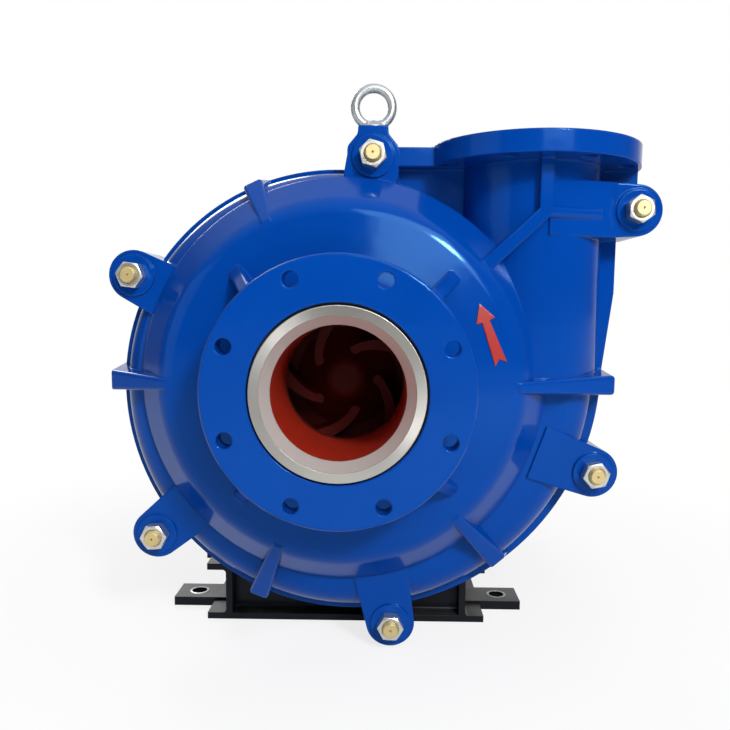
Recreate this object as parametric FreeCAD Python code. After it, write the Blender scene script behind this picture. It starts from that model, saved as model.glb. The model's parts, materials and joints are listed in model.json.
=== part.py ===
"""Horizontal slurry pump with a double casing: an outer casing split along the pump's centre plane, hard metal
liners inside it, a closed impeller on an overhung shaft, and a bearing cartridge in a pedestal on a channel base.

Every piece is made in the pump frame: origin on the shaft line at the suction flange face, X to the right as seen
from the suction side, Y along the shaft towards the drive end, Z up. A "depth" is a distance along Y from the
suction face. save() moves each piece to the part frame, whose origin lies on the floor in the middle of the four
foundation bolt holes. Millimetres and degrees.
"""
import FreeCAD, Part
import math
import os

from FreeCAD import Vector

os.makedirs("parts", exist_ok=True)

# ---- driving dimensions -------------------------------------------------------------------------------------

# fits and gaps
RUNNING_CLEARANCE = 0.05      # radial, at a running or sliding fit
SMALL_GAP = 0.3               # between curved faces that only lie close to each other
LINER_GAP = 2.0               # between the outer casing and the liners in it
BOLT_HOLE_PLAY = 2.0          # a bolt hole's diameter over its bolt's
JOIN_LAP = 1.0                # how far solids that are joined into one reach into each other

# proportions of hexagon nuts and heads, as shares of the thread's diameter
HEX_WIDTH_SHARE = 1.5
NUT_HEIGHT_SHARE = 0.8
HEAD_HEIGHT_SHARE = 0.6
STUD_END_SHARE = 1.2          # of a stud past its seat, through its nut

# shaft line and foundation
CASING_FLOOR_GAP = 4.0667744734      # under the casing's lowest lug
FOOT_SPACING_X = 546.0
FOOT_SPACING_Y = 257.0
FRONT_FOOT_DEPTH = 361.0
FOOT_BAR_LENGTH = 622.0
FOOT_BAR_WIDTH = 66.0
FOOT_BAR_THICKNESS = 15.5
FOOT_HOLE_DIAMETER = 27.0

# suction side
SUCTION_FLANGE_DIAMETER = 368.0
SUCTION_FLANGE_THICKNESS = 34.0
SUCTION_FLANGE_CHAMFER = 2.0
SUCTION_BOLT_CIRCLE = 324.0
SUCTION_BOLT_HOLE = 22.0
FLANGE_BOLT_COUNT = 8
SUCTION_NECK_DIAMETER = 300.0
THROAT_BORE_DIAMETER = 183.0
THROAT_DIAMETER = 234.5
THROAT_FACE_DIAMETER = 207.6
THROAT_PROTRUSION = 5.0
THROAT_TAPER_LENGTH = 21.0
THROAT_SIDE_GAP = 3.5
NECK_FLARE_WIDTH = 14.0       # where the suction neck runs out into the dome
NECK_FLARE_HEIGHT = 12.0
NECK_FLARE_SINK = 8.0         # of its foot, below the dome's start

# outer casing
PARTING_DEPTH = 245.0
DOME_FOOT_DEPTH = 94.0        # where the dome starts from the suction neck
DOME_CREST_RADIUS = 262.0     # where the dome turns down to its shoulder
DOME_CREST_DEPTH = 112.0
DOME_CREST_ROUNDING = 42.0
DOME_RADIUS = 305.0           # at the foot of the shoulder
SHOULDER_FOOT_DEPTH = 160.5
BODY_HALF_WIDTH = 75.0        # of the spiral part, from the parting plane
BODY_START_RADIUS = 318.0     # of the spiral part, straight above the shaft
BODY_GROWTH = 94.0            # of that radius, in one turn
RIM_START_RADIUS = 326.0      # of the parting rim, straight above the shaft
RIM_GROWTH = 107.0
RIM_THICKNESS = 22.0
CASING_WALL = 18.0
BODY_EDGE_ROUNDING = 44.0
CAVITY_EDGE_ROUNDING = 20.0
REAR_WALL_DEPTH = 355.0
REAR_CREST_RADIUS = 262.0     # where the rear wall turns to its shoulder
REAR_SHOULDER_DEPTH = 316.0
REAR_CREST_ROUNDING = 16.0
HUB_RING_RADIUS = 205.0       # the frame plate's mounting ring
HUB_RING_DEPTH = 375.0

# discharge side
NECK_X = 290.0
NECK_RADIUS = 110.0
NECK_RIM_WIDTH = 21.0
NECK_TAPER_HEIGHT = 140.0     # where the passage in the neck reaches its full width
NECK_TAPER_SINK = 6.0         # of the taper's lower end, inside the volute's wall
NECK_BLOCK_TOP = 215.0        # of the volute's flat-sided part in the neck
SECTOR_LAP_ANGLE = 10.0       # of the spiral's first sector, past the neck's left side
DISCHARGE_FACE_HEIGHT = 359.0
DISCHARGE_FLANGE_DIAMETER = 328.0
DISCHARGE_FLANGE_THICKNESS = 31.0
DISCHARGE_BOLT_CIRCLE = 286.0
DISCHARGE_BOLT_HOLE = 22.0
DISCHARGE_BORE_DIAMETER = 152.0
LINER_WALL = 20.0
PASSAGE_EDGE_ROUNDING = 12.0

# cover studs: name, angle about the shaft counter-clockwise from +X, distance outside the parting rim
COVER_STUDS = (
    ("top", 83.0, 14.5),
    ("upper_left", 153.4, 9.5),
    ("lower_left", 219.6, 12.5),
    ("bottom", 281.2, 5.5),
    ("lower_right", 340.6, 7.0),
)
NECK_STUD_OFFSET = 143.0      # of the sixth stud, from the discharge axis
NECK_STUD_DROP = 67.0         # of the sixth stud, below the discharge flange
STUD_DIAMETER = 24.0
STUD_FRONT_DEPTH = 134.0
NUT_ACROSS_FLATS = 36.0
NUT_HEIGHT = 21.5
LUG_RADIUS = 38.0
LUG_ROOT_HALF_WIDTH = 43.0
LUG_LENGTH = 92.0             # from the stud inwards
LUG_FRONT_DEPTH = 167.0
LUG_BOSS_RADIUS = 31.0
LUG_BOSS_HEIGHT = 4.0
REAR_LUG_THICKNESS = 23.0
STUD_CHAMFER = 2.0
STUD_CENTRE_RADIUS = 3.0      # of the drill centre in each stud's front end
CROWN_SHOULDER_RISE = 8.0     # the top lug's crown: shoulders, neck and seat under the lifting eye
CROWN_SHOULDER_ROUNDING = 14.0
CROWN_NECK_DROP = 12.0
CROWN_NECK_MARGIN = 3.0
CROWN_NECK_ROUNDING = 10.0
CROWN_SEAT_MARGIN = 2.0

# stiffening ribs of the cover plate
# angle, and how far its front corner stands outside the parting rim
RIM_RIBS = ((0.0, 6.0), (115.0, -6.0), (180.0, 3.0), (248.5, -8.0), (311.0, -20.0))
RIM_RIB_CREST_WIDTH = 17.0
RIM_RIB_ROOT_WIDTH = 46.0      # at the parting plane
RIM_RIB_ROUNDING = 5.0
RIM_RIB_CORNER_DEPTH = 168.0
RIM_RIB_OVERHANG = 3.0        # past the parting rim, at the parting plane
RIM_RIB_SINK = 30.0           # of its inner end, inside the dome's crest
RIM_RIB_SINK_DEPTH = 4.0
RIM_RIB_CREST_INSET = 2.0
NECK_GUSSET_ANGLES = (-43.0, 45.0, 133.0, 228.0)
NECK_GUSSET_WIDTH = 21.0
NECK_GUSSET_ROUNDING = 5.0
NECK_GUSSET_REACH = 232.0
NECK_GUSSET_SINK = 10.0       # into the suction neck
NECK_GUSSET_LAP = 4.0         # into the suction flange's back
NECK_GUSSET_INSET = 8.0       # of its start, inside the flange's edge
NECK_GUSSET_STEP = 6.0        # of its crest, outside the flange's edge and behind the flange
NECK_GUSSET_CREST_ROUNDING = 6.0
NECK_RIB_WIDTH = 19.0
NECK_RIB_FRONT_DEPTH = 122.0
NECK_RIB_FORK_HEIGHT = 254.0
NECK_RIB_FOOT = (200.0, 169.0)
NECK_RIB_ARM_STEP = 8.0       # of its level arm's end, in front of the lug's boss
TIE_BAR_HEIGHT = 28.0         # between the top lug and the discharge flange
TIE_BAR_DEPTH = 50.0
TIE_BAR_RISE = 1.0            # of the flange's underside over the bar's
TIE_WEB_SINK = 70.0           # of the web's foot, inside the volute's wall
NECK_ARM_START = (297.0, 132.0)
NECK_ARM_KNEE = (394.0, 162.0)
NECK_ARM_HALF_HEIGHT = 40.0
NECK_ARM_ROUNDING = 20.0
NECK_CHEEK_SINK = 10.0        # of the cheek under the flange, into the neck
NECK_CHEEK_INSET = 4.0        # of the same, inside the flange's edge
TIE_BAR_LAP = 30.0            # of the tie bar, into the discharge flange

# lifting eye (M20 eye bolt)
EYE_THREAD_DIAMETER = 20.0
EYE_BORE_DIAMETER = 43.0
EYE_OUTER_DIAMETER = 70.0
EYE_SECTION = 14.0
EYE_COLLAR_DIAMETER = 40.0
EYE_COLLAR_HEIGHT = 14.0
EYE_COLLAR_NECK = 2.0         # of its top's radius, over the ring's section
EYE_SHANK_LAP = 4.0           # of the threaded shank, into the collar
EYE_CENTRE_HEIGHT = 35.0
EYE_SEAT_HEIGHT = 380.0

# impeller
IMPELLER_DIAMETER = 510.0
IMPELLER_FRONT_DEPTH = 200.0
SHROUD_THICKNESS = 14.0
PASSAGE_WIDTH = 66.0
IMPELLER_SIDE_GAP = 4.0
VANE_COUNT = 5
VANE_INNER_RADIUS = 52.0
VANE_WRAP = 105.0
VANE_THICKNESS = 32.0
VANE_TAIL_THICKNESS = 22.0
HUB_NOSE_RADIUS = 50.0
HUB_NOSE_LENGTH = 46.0
HUB_NOSE_TIP_SHARE = 0.55     # of the nose's radius, at its flat tip
HUB_NOSE_TIP_ROUNDING = 16.0
HUB_NOSE_ROUNDING = 24.0
HUB_NOSE_FLARE = 34.0
EYE_LIP_WIDTH = 10.0          # of the bevel behind the impeller's eye
EYE_LIP_HEIGHT = 8.0
INLET_CONE_SHARE = 0.75       # of the passage width that the vanes' front edges slope back through
VANE_NOSE_SHARE = 0.55        # of the vane's thickness at its nose
VANE_STEPS = 6
HUB_RADIUS = 74.0
IMPELLER_THREAD_RADIUS = 36.0
SHAFT_FRONT_DEPTH = 256.0
PUMP_OUT_VANE_COUNT = 5
PUMP_OUT_VANE_HEIGHT = 5.0
PUMP_OUT_VANE_WIDTH = 18.0
PUMP_OUT_VANE_START = 28.0    # outside the hub
PUMP_OUT_VANE_INSET = 4.0     # inside the shroud's edge

# liners
SIDE_LINER_RADIUS = 262.0     # of the throatbush plate and the frame plate liner insert
THROAT_PLATE_THICKNESS = 42.0
THROAT_BORE_ROUNDING = 4.0
THROAT_PLATE_ROUNDING = 2.0
THROAT_SHOULDER_HEIGHT = 8.0
THROAT_SHOULDER_ROUNDING = 4.0
THROAT_ROOT_WIDTH = 20.0      # of the fillet between plate and tube
THROAT_ROOT_HEIGHT = 12.0
THROAT_ROOT_ROUNDING = 12.0
THROAT_EDGE_ROUNDING = 1.0
INSERT_THICKNESS = 22.0
INSERT_BORE_RADIUS = 104.0
SEAL_RING_WIDTH = 10.0
COLLAR_REACH = 14.0           # of the volute liner's side collars, past its side faces
COLLAR_WALL = 9.0
JOINT_DEPTH = 12.0
LINER_STUD_CIRCLE = 464.0
LINER_STUD_DIAMETER = 16.0
LINER_STUD_ANGLE = 45.0

# stuffing box and gland
BOX_FLANGE_RADIUS = 134.0
BOX_FLANGE_THICKNESS = 24.0
BOX_BARREL_RADIUS = 90.0
BOX_BARREL_ROUNDING = 8.0
BOX_SPIGOT_RADIUS = 108.0
BOX_EAR_FRONT_DEPTH = 446.0
BOX_EAR_THICKNESS = 22.0
BOX_EAR_LAP = 2.0             # of the ears, into the barrel
BOX_NECK_LENGTH = 20.0        # between the impeller's hub and the packing chamber
BOX_NECK_GAP = 1.5            # round the shaft sleeve
HUB_END_GAP = 6.0             # between the impeller's hub and the box round it
WATER_BOSS_RADIUS = 17.0
WATER_BOSS_HEIGHT = 20.0
WATER_BOSS_SINK = 6.0         # into the barrel
WATER_PLUG_RADIUS = 10.0
PACKING_SECTION = 16.0
PACKING_INSET = 6.0           # of the last ring, inside the box's end
LANTERN_WIDTH = 22.0
GLAND_STANDOFF = 8.0          # of the gland's plate from the box's end
GLAND_PLATE_THICKNESS = 22.0
GLAND_EAR_SHARE = 1.25        # of the bolt's diameter, as the ear's radius
GLAND_BORE_GAP = 2.0          # round the shaft sleeve
GLAND_PLATE_RADIUS = 86.0
GLAND_BOLT_SPAN = 232.0
GLAND_BOLT_DIAMETER = 16.0
GLAND_BOLT_LENGTH = 96.0
GLAND_SPLIT = 1.0

# shaft and what it carries
SLEEVE_DIAMETER = 100.0
SLEEVE_FRONT_DEPTH = 350.0
GLAND_WITHDRAWAL = 22.0       # of the sleeve's end, behind the gland
SHAFT_SLEEVE_SEAT = 84.0
COLLAR_LENGTH = 28.0
COLLAR_HEIGHT = 12.0          # of the release collar, over the sleeve
SPACER_LENGTH = 13.0
SPACER_HEIGHT = 4.0           # of the spacer, over the sleeve
BEARING_BORE = 100.0
BEARING_OUTER_DIAMETER = 180.0
BEARING_WIDTH = 46.0
BEARING_RING_THICKNESS = 12.5
ROLLER_COUNT = 16
ROLLER_RIB_WIDTH = 3.0
CAGE_RING_WIDTH = 2.5
CAGE_RING_DROP = 3.5          # of the cage's rings, inside and outside the rollers' pitch circle
CAGE_RING_RISE = 5.0
ROLLER_RIB_HEIGHT = 3.0
BEARING_INSET = 30.0          # of each bearing, from its end of the housing
SHAFT_MIDDLE_DIAMETER = 116.0
DRIVE_END_DIAMETER = 80.0
DRIVE_END_LENGTH = 140.0
DRIVE_SHOULDER_LENGTH = 16.0  # of the bearing diameter, behind the rear labyrinth
SHAFT_CHAMFER = 3.0
KEY_WIDTH = 22.0
KEY_HEIGHT = 14.0
KEY_LENGTH = 110.0
KEYWAY_SHARE = 0.64           # of the key's height that lies in the shaft

# bearing cartridge
HOUSING_LENGTH = 500.0
HOUSING_RADIUS = 128.0
HOUSING_END_EDGE = 3.0        # its turned ends: edge, step and the rounding between them
HOUSING_END_STEP = 12.0
HOUSING_END_ROUNDING = 6.0
HOUSING_END_LENGTH = 20.0
HOUSING_SHOULDER_HEIGHT = 8.0  # behind each bearing seat
HOUSING_CORE_HEIGHT = 14.0    # of the cast hollow between the seats, over the bearings' diameter
LAND_RADIUS = 136.0
LAND_LENGTH = 58.0
LAND_INSET = 26.0             # of each land, from its end of the housing
GREASE_BOSS_RADIUS = 12.0
GREASE_SEAT = 140.0           # of the grease nipples, above the shaft line
GREASE_BORE_RADIUS = 5.0
GREASE_SHANK_LENGTH = 12.0
GREASE_HEX_WIDTH = 13.0
GREASE_HEX_HEIGHT = 6.0
GREASE_HEAD_RADIUS = 4.0
GREASE_TIP_RADIUS = 2.5
GREASE_HEAD_HEIGHT = 10.0
HOUSING_PART_LAP = 6.0        # of bosses and lug, into the housing
PAD_LAP = 12.0                # of the clamp pads, into the housing
END_COVER_RADIUS = 120.0
END_COVER_THICKNESS = 18.0
END_COVER_ROUNDING = 3.0
END_COVER_SHAFT_GAP = 6.0
END_COVER_SPIGOT_WALL = 18.0
COVER_SCREW_CIRCLE = 212.0
COVER_SCREW_COUNT = 6
COVER_SCREW_DIAMETER = 12.0
COVER_SCREW_PLAY = 1.0
COVER_SCREW_ANGLE = 30.0
LABYRINTH_RADIUS = 84.0
LABYRINTH_WIDTH = 20.0
LABYRINTH_GAP = 1.0
LABYRINTH_GROOVE = 4.0
ADJUSTING_SCREW_DIAMETER = 24.0
ADJUSTING_SCREW_Z = -160.0
SCREW_LUG_INSET = 200.0       # from the housing's front end
SCREW_LUG_THICKNESS = 26.0
SCREW_LUG_SHARE = 0.8         # of the screw's diameter, as the lug's half width
SCREW_FREE_LENGTH = 26.0      # between the lug and the pedestal's bracket
SCREW_TAIL = 45.0             # behind the bracket
BRACKET_THICKNESS = 16.0
BRACKET_HALF_WIDTH = 62.0
BRACKET_DROP = 30.0           # below the screw
BRACKET_TOP_GAP = 4.0         # under the housing's lands
RAIL_TOP = -20.0
PAD_TOP = 10.0
PAD_REACH = 150.0             # of the housing's clamp pads, from the shaft line
CLAMP_SIDE_GAP = 2.0          # from pads and lands
CLAMP_END_INSET = 4.0
CLAMP_THICKNESS = 20.0
CLAMP_ROUNDING = 4.0

# bearing pedestal
RING_RADIUS = 215.0
RING_THICKNESS = 24.0
RING_BORE_RADIUS = 152.0
FRAME_STUD_CIRCLE = 372.0
FRAME_STUD_COUNT = 8
FRAME_STUD_DIAMETER = 20.0
FRAME_STUD_ANGLE = 22.5
CRADLE_WALL = 24.0
CRADLE_RAIL_THICKNESS = 26.0
RAIL_REACH = 192.0            # of the cradle's rails, from the shaft line
CLAMP_BOLT_X = 172.0
CLAMP_BOLT_DIAMETER = 20.0
CLAMP_BOLT_TAIL = 6.0         # past its nut
CLAMP_HEAD_SHARE = 0.65
ARM_THICKNESS = 26.0
ARM_HALF_HEIGHT = 48.0
PEDESTAL_WEB_INSIDE = 110.0
PEDESTAL_WEB_THICKNESS = 16.0
DECK_THICKNESS = 14.0
CRADLE_MARGIN = 8.0           # of the cradle, past the housing's lands
CRADLE_RELIEF_GAP = 8.0       # round the housing between its lands
CRADLE_RELIEF_MARGIN = 16.0
CRADLE_WINDOW_MARGIN = 20.0
PEDESTAL_LAP = 4.0            # of the webs' heads, into the cradle
WEB_CREST = -106.0            # heights and roundings along the webs' upper edge
WEB_HEAD_REACH = 30.0
WEB_TAIL_STEP = 12.0
WEB_NECK_LENGTH = 40.0
WEB_NECK_DROP = 18.0
WEB_NECK_RISE = 6.0
WEB_NECK_ROUNDING = 30.0
WEB_TAIL_ROUNDING = 10.0
WEB_BACK_REACH = 60.0
WEB_BACK_ROUNDING = 80.0
ARM_SHOULDER = 30.0           # of the arms' upper and lower curves
ARM_TAIL = 10.0
ARM_FOOT_TAIL = 20.0
CROSS_WALL_GAP = 8.0          # under the housing's lands

# channel base
BASE_FRONT_GAP = 4.0          # behind the parting rim
BASE_LENGTH = 437.0
CHANNEL_HALF_WIDTH = 206.0    # outside of the side channels' webs
CHANNEL_HEIGHT = 98.0
CHANNEL_FLANGE = 32.0
CHANNEL_WALL = 11.0
CHANNEL_ROUNDING = 6.0
CROSS_CHANNEL_SETBACK = 27.0
SCOOP_ANGLE = 300.0           # about the shaft, where the casing's rim gives the scoop its radius

# ---- places worked out from them ----------------------------------------------------------------------------

FLANGE_UNDERSIDE = DISCHARGE_FACE_HEIGHT - DISCHARGE_FLANGE_THICKNESS
LINER_INSET = CASING_WALL + LINER_GAP
NOZZLE_RADIUS = NECK_RADIUS - LINER_INSET
NOZZLE_BORE_RADIUS = DISCHARGE_BORE_DIAMETER / 2
IMPELLER_RADIUS = IMPELLER_DIAMETER / 2
PASSAGE_FRONT_DEPTH = IMPELLER_FRONT_DEPTH + SHROUD_THICKNESS
PASSAGE_REAR_DEPTH = PASSAGE_FRONT_DEPTH + PASSAGE_WIDTH
IMPELLER_REAR_DEPTH = PASSAGE_REAR_DEPTH + SHROUD_THICKNESS
INSERT_FRONT_DEPTH = IMPELLER_REAR_DEPTH + PUMP_OUT_VANE_HEIGHT + IMPELLER_SIDE_GAP
THROAT_REAR_DEPTH = IMPELLER_FRONT_DEPTH - PUMP_OUT_VANE_HEIGHT - IMPELLER_SIDE_GAP
BOX_FLANGE_REAR_DEPTH = HUB_RING_DEPTH
BOX_FLANGE_FRONT_DEPTH = BOX_FLANGE_REAR_DEPTH - BOX_FLANGE_THICKNESS
STUD_REAR_DEPTH = PARTING_DEPTH + REAR_LUG_THICKNESS + NUT_HEIGHT + STUD_DIAMETER / 3
CHAMBER_FRONT_DEPTH = SLEEVE_FRONT_DEPTH + HUB_END_GAP + BOX_NECK_LENGTH
CHAMBER_RADIUS = SLEEVE_DIAMETER / 2 + PACKING_SECTION
WATER_BOSS_DEPTH = CHAMBER_FRONT_DEPTH + LANTERN_WIDTH / 2
WATER_BOSS_TOP = BOX_BARREL_RADIUS - WATER_BOSS_SINK + WATER_BOSS_HEIGHT
BOX_END_DEPTH = BOX_EAR_FRONT_DEPTH + BOX_EAR_THICKNESS
PACKING_START_DEPTH = CHAMBER_FRONT_DEPTH + LANTERN_WIDTH
PACKING_COUNT = int((BOX_END_DEPTH - PACKING_INSET - PACKING_START_DEPTH) / PACKING_SECTION + 0.001)
PACKING_END_DEPTH = PACKING_START_DEPTH + PACKING_COUNT * PACKING_SECTION
GLAND_PLATE_DEPTH = BOX_END_DEPTH + GLAND_STANDOFF
GLAND_REAR_DEPTH = GLAND_PLATE_DEPTH + GLAND_PLATE_THICKNESS
SLEEVE_END_DEPTH = GLAND_REAR_DEPTH + GLAND_WITHDRAWAL
SPACER_DEPTH = SLEEVE_END_DEPTH + COLLAR_LENGTH
HOUSING_FRONT_DEPTH = SPACER_DEPTH + SPACER_LENGTH + LABYRINTH_WIDTH + LABYRINTH_GAP + END_COVER_THICKNESS
HOUSING_REAR_DEPTH = HOUSING_FRONT_DEPTH + HOUSING_LENGTH
FRONT_BEARING_DEPTH = HOUSING_FRONT_DEPTH + BEARING_INSET
REAR_BEARING_DEPTH = HOUSING_REAR_DEPTH - BEARING_INSET - BEARING_WIDTH
SEAT_LENGTH = BEARING_INSET + BEARING_WIDTH
FRONT_LABYRINTH_DEPTH = HOUSING_FRONT_DEPTH - END_COVER_THICKNESS - LABYRINTH_GAP - LABYRINTH_WIDTH
REAR_LABYRINTH_DEPTH = HOUSING_REAR_DEPTH + END_COVER_THICKNESS + LABYRINTH_GAP
SHAFT_END_DEPTH = REAR_LABYRINTH_DEPTH + LABYRINTH_WIDTH + DRIVE_SHOULDER_LENGTH + DRIVE_END_LENGTH
GREASE_DEPTHS = (FRONT_BEARING_DEPTH + BEARING_WIDTH / 2, REAR_BEARING_DEPTH + BEARING_WIDTH / 2)
BOX_SPIGOT_DEPTH = INSERT_FRONT_DEPTH + INSERT_THICKNESS
RING_FRONT_DEPTH = HUB_RING_DEPTH
RING_REAR_DEPTH = RING_FRONT_DEPTH + RING_THICKNESS
SCREW_LUG_DEPTH = HOUSING_FRONT_DEPTH + SCREW_LUG_INSET
BRACKET_DEPTH = SCREW_LUG_DEPTH + SCREW_LUG_THICKNESS + SCREW_FREE_LENGTH
BASE_FRONT_DEPTH = PARTING_DEPTH + RIM_THICKNESS + BASE_FRONT_GAP
BASE_REAR_DEPTH = BASE_FRONT_DEPTH + BASE_LENGTH

ALONG_X = Vector(1, 0, 0)
ALONG_Y = Vector(0, 1, 0)
ALONG_Z = Vector(0, 0, 1)
SHAFT_AXIS = (Vector(0, 0, 0), ALONG_Y)


# ---- drawing helpers ----------------------------------------------------------------------------------------

def on_shaft_section(radius, depth):
    """A point of a turned profile: distance from the shaft line, then depth."""
    return Vector(radius, depth, 0)


def at_depth(depth):
    """Gives the function that puts (x, z) in the plane across the shaft at this depth."""
    return lambda x, z: Vector(x, depth, z)


def at_side(x):
    """Gives the function that puts (depth, z) in the plane along the shaft at this x."""
    return lambda depth, z: Vector(x, depth, z)


def at_height(z):
    """Gives the function that puts (x, depth) in the level plane at this height."""
    return lambda x, depth: Vector(x, depth, z)


def outline(corners, place):
    """A closed face through corners (a, b) or (a, b, rounding), each rounding an arc tangent to both sides."""
    points = [place(corner[0], corner[1]) for corner in corners]
    roundings = [corner[2] if len(corner) > 2 else 0 for corner in corners]
    edges = []
    starts = []
    ends = []
    for index, point in enumerate(points):
        before = (points[index - 1] - point).normalize()
        after = (points[(index + 1) % len(points)] - point).normalize()
        rounding = roundings[index]
        if rounding == 0:
            starts.append(point)
            ends.append(point)
            continue
        half_angle = before.getAngle(after) / 2
        reach = rounding / math.tan(half_angle)
        middle = (before + after).normalize()
        nearest = point + middle * (rounding / math.sin(half_angle) - rounding)
        starts.append(point + before * reach)
        ends.append(point + after * reach)
        edges.append(Part.Arc(starts[-1], nearest, ends[-1]).toShape())
    for index in range(len(points)):
        start = ends[index]
        end = starts[(index + 1) % len(points)]
        if start.distanceToPoint(end) > 1e-6:
            edges.append(Part.LineSegment(start, end).toShape())
    return Part.Face(Part.Wire(Part.__sortEdges__(edges)))


def turned(corners, angle=360.0):
    """A solid turned about the shaft line from a profile of (radius, depth) corners."""
    return outline(corners, on_shaft_section).revolve(*SHAFT_AXIS, angle)


def ring(inner_radius, outer_radius, front_depth, rear_depth):
    """A plain ring on the shaft line, or a disc where its inner radius is 0."""
    solid = rod(outer_radius, Vector(0, front_depth, 0), rear_depth - front_depth)
    if inner_radius > 0:
        solid = solid.cut(rod(inner_radius, Vector(0, front_depth, 0), rear_depth - front_depth))
    return solid


def rod(radius, start, length, direction=ALONG_Y):
    """A round bar."""
    return Part.makeCylinder(radius, length, start, direction)


def block(x_range, depth_range, z_range):
    """A square-edged block between two values of each of x, depth and z."""
    size = [high - low for low, high in (x_range, depth_range, z_range)]
    return Part.makeBox(*size, Vector(x_range[0], depth_range[0], z_range[0]))


def polar(radius, angle, depth=0.0):
    """A point at this radius and angle about the shaft, counter-clockwise from +X."""
    turn = math.radians(angle)
    return Vector(radius * math.cos(turn), depth, radius * math.sin(turn))


def turned_copy(shape, angle):
    """A copy turned counter-clockwise about the shaft, as seen from the suction side."""
    return shape.rotated(Vector(0, 0, 0), ALONG_Y, -angle)


def mirrored(shape):
    """The same shape on the other side of the shaft."""
    return shape.mirror(Vector(0, 0, 0), ALONG_X)


def hexagon_bar(across_flats, start, length, direction=ALONG_Y):
    """A hexagon bar, as a nut or a bolt head."""
    corner = across_flats / math.sqrt(3)
    corners = [(corner * math.cos(math.pi / 3 * i), corner * math.sin(math.pi / 3 * i)) for i in range(6)]
    prism = outline(corners, lambda x, y: Vector(x, y, 0)).extrude(ALONG_Z * length)
    prism.Placement = FreeCAD.Placement(start, FreeCAD.Rotation(ALONG_Z, direction))
    return prism


def nut(across_flats, bore_diameter, start, length, direction=ALONG_Y):
    """A hexagon nut, its thread shown as a plain bore."""
    bar = hexagon_bar(across_flats, start, length, direction)
    return bar.cut(rod(bore_diameter / 2, start, length, direction))


def standard_nut(thread, start, direction=ALONG_Y, play=0.0):
    """A nut of standard proportions for a thread; play widens its bore."""
    return nut(HEX_WIDTH_SHARE * thread, thread + play, start, NUT_HEIGHT_SHARE * thread, direction)


def bolt_head(thread, seat, direction):
    """A hexagon head of standard proportions for a thread."""
    return hexagon_bar(HEX_WIDTH_SHARE * thread, seat, HEAD_HEIGHT_SHARE * thread, direction)


def joined(solids):
    """One solid from several that overlap."""
    first, *rest = solids
    return first.multiFuse(rest).removeSplitter()


def group(solids):
    """Separate solids kept together in one node, such as a set of like screws."""
    return Part.makeCompound(solids)


def save(name, shape):
    """Writes one piece to its own file, moved from the pump frame to the part frame."""
    moved = shape.copy()
    moved.translate(PUMP_ORIGIN)
    moved.exportStep("parts/" + name + ".step")


# ---- the volute's outline, shared by casing and liner -------------------------------------------------------

def spiral_radius(start_radius, growth, angle):
    """The spiral's radius at an angle: start_radius straight above the shaft, growing evenly with the turn."""
    return start_radius + growth * (angle - 90) / 360


def volute_arcs(start_radius, growth, left):
    """Four quarter arcs that follow the spiral, as centre x and z, radius, first and last angle.

    The first one starts at x = left.
    """
    step = growth / 4
    half = step / 2
    radii = [start_radius + half + index * step for index in range(-1, 3)]
    centres = [(-half, half), (-half, -half), (half, -half), (half, half)]
    first_angle = math.degrees(math.acos((left + half) / radii[0]))
    angles = [(first_angle, 90), (90, 180), (180, 270), (270, 360)]
    return [(*centre, radius, *span) for centre, radius, span in zip(centres, radii, angles)]


def rim_face(depth):
    """The parting rim's outline seen from the front: the spiral, then the straight neck."""
    left = NECK_X - NECK_RADIUS - NECK_RIM_WIDTH
    right = NECK_X + NECK_RADIUS + NECK_RIM_WIDTH
    arcs = []
    for x, z, radius, start, end in volute_arcs(RIM_START_RADIUS, RIM_GROWTH, left):
        points = [polar(radius, angle, depth) + Vector(x, 0, z) for angle in (start, (start + end) / 2, end)]
        arcs.append(Part.Arc(*points))
    straights = [arcs[-1].EndPoint, Vector(right, depth, NECK_TAPER_HEIGHT), Vector(right, depth, FLANGE_UNDERSIDE)]
    straights += [Vector(left, depth, FLANGE_UNDERSIDE), arcs[0].StartPoint]
    edges = [arc.toShape() for arc in arcs]
    edges += [Part.LineSegment(a, b).toShape() for a, b in zip(straights, straights[1:])]
    return Part.Face(Part.Wire(edges))


def spiral_body(start_radius, neck_radius, half_width, rounding, straight_neck=False):
    """The volute's spiral body between its two side faces, long edges rounded, running into a round neck."""
    front = PARTING_DEPTH - half_width
    rear = PARTING_DEPTH + half_width
    left = NECK_X - neck_radius
    arcs = volute_arcs(start_radius, BODY_GROWTH, left)
    solids = []
    for index, (x, z, radius, start, end) in enumerate(arcs):
        if index == 0:
            start -= SECTOR_LAP_ANGLE
        corners = [(0, front), (radius, front, rounding), (radius, rear, rounding), (0, rear)]
        section = outline(corners, on_shaft_section)
        sector = turned_copy(section.revolve(Vector(), -ALONG_Y, end - start), start)
        sector.translate(Vector(x, 0, z))
        solids.append(sector)
    x, z, radius, _, _ = arcs[-1]
    right = x + radius
    block_left = left + NECK_TAPER_SINK
    solids.append(outline([
        (block_left, front, rounding), (right, front, rounding), (right, rear, rounding), (block_left, rear, rounding),
    ], at_height(z)).extrude(ALONG_Z * (NECK_BLOCK_TOP - z)))
    if straight_neck:
        solids.append(neck_rod(neck_radius, 0, FLANGE_UNDERSIDE))
    else:
        neck = outline([
            (0, z),
            (right - NECK_X - NECK_TAPER_SINK, z),
            (neck_radius, NECK_TAPER_HEIGHT),
            (neck_radius, FLANGE_UNDERSIDE),
            (0, FLANGE_UNDERSIDE),
        ], lambda radius, height: Vector(NECK_X + radius, PARTING_DEPTH, height))
        solids.append(neck.revolve(Vector(NECK_X, PARTING_DEPTH, 0), ALONG_Z, 360))
    solids.append(ring(0, start_radius - half_width, front, rear))
    return joined(solids)


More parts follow.
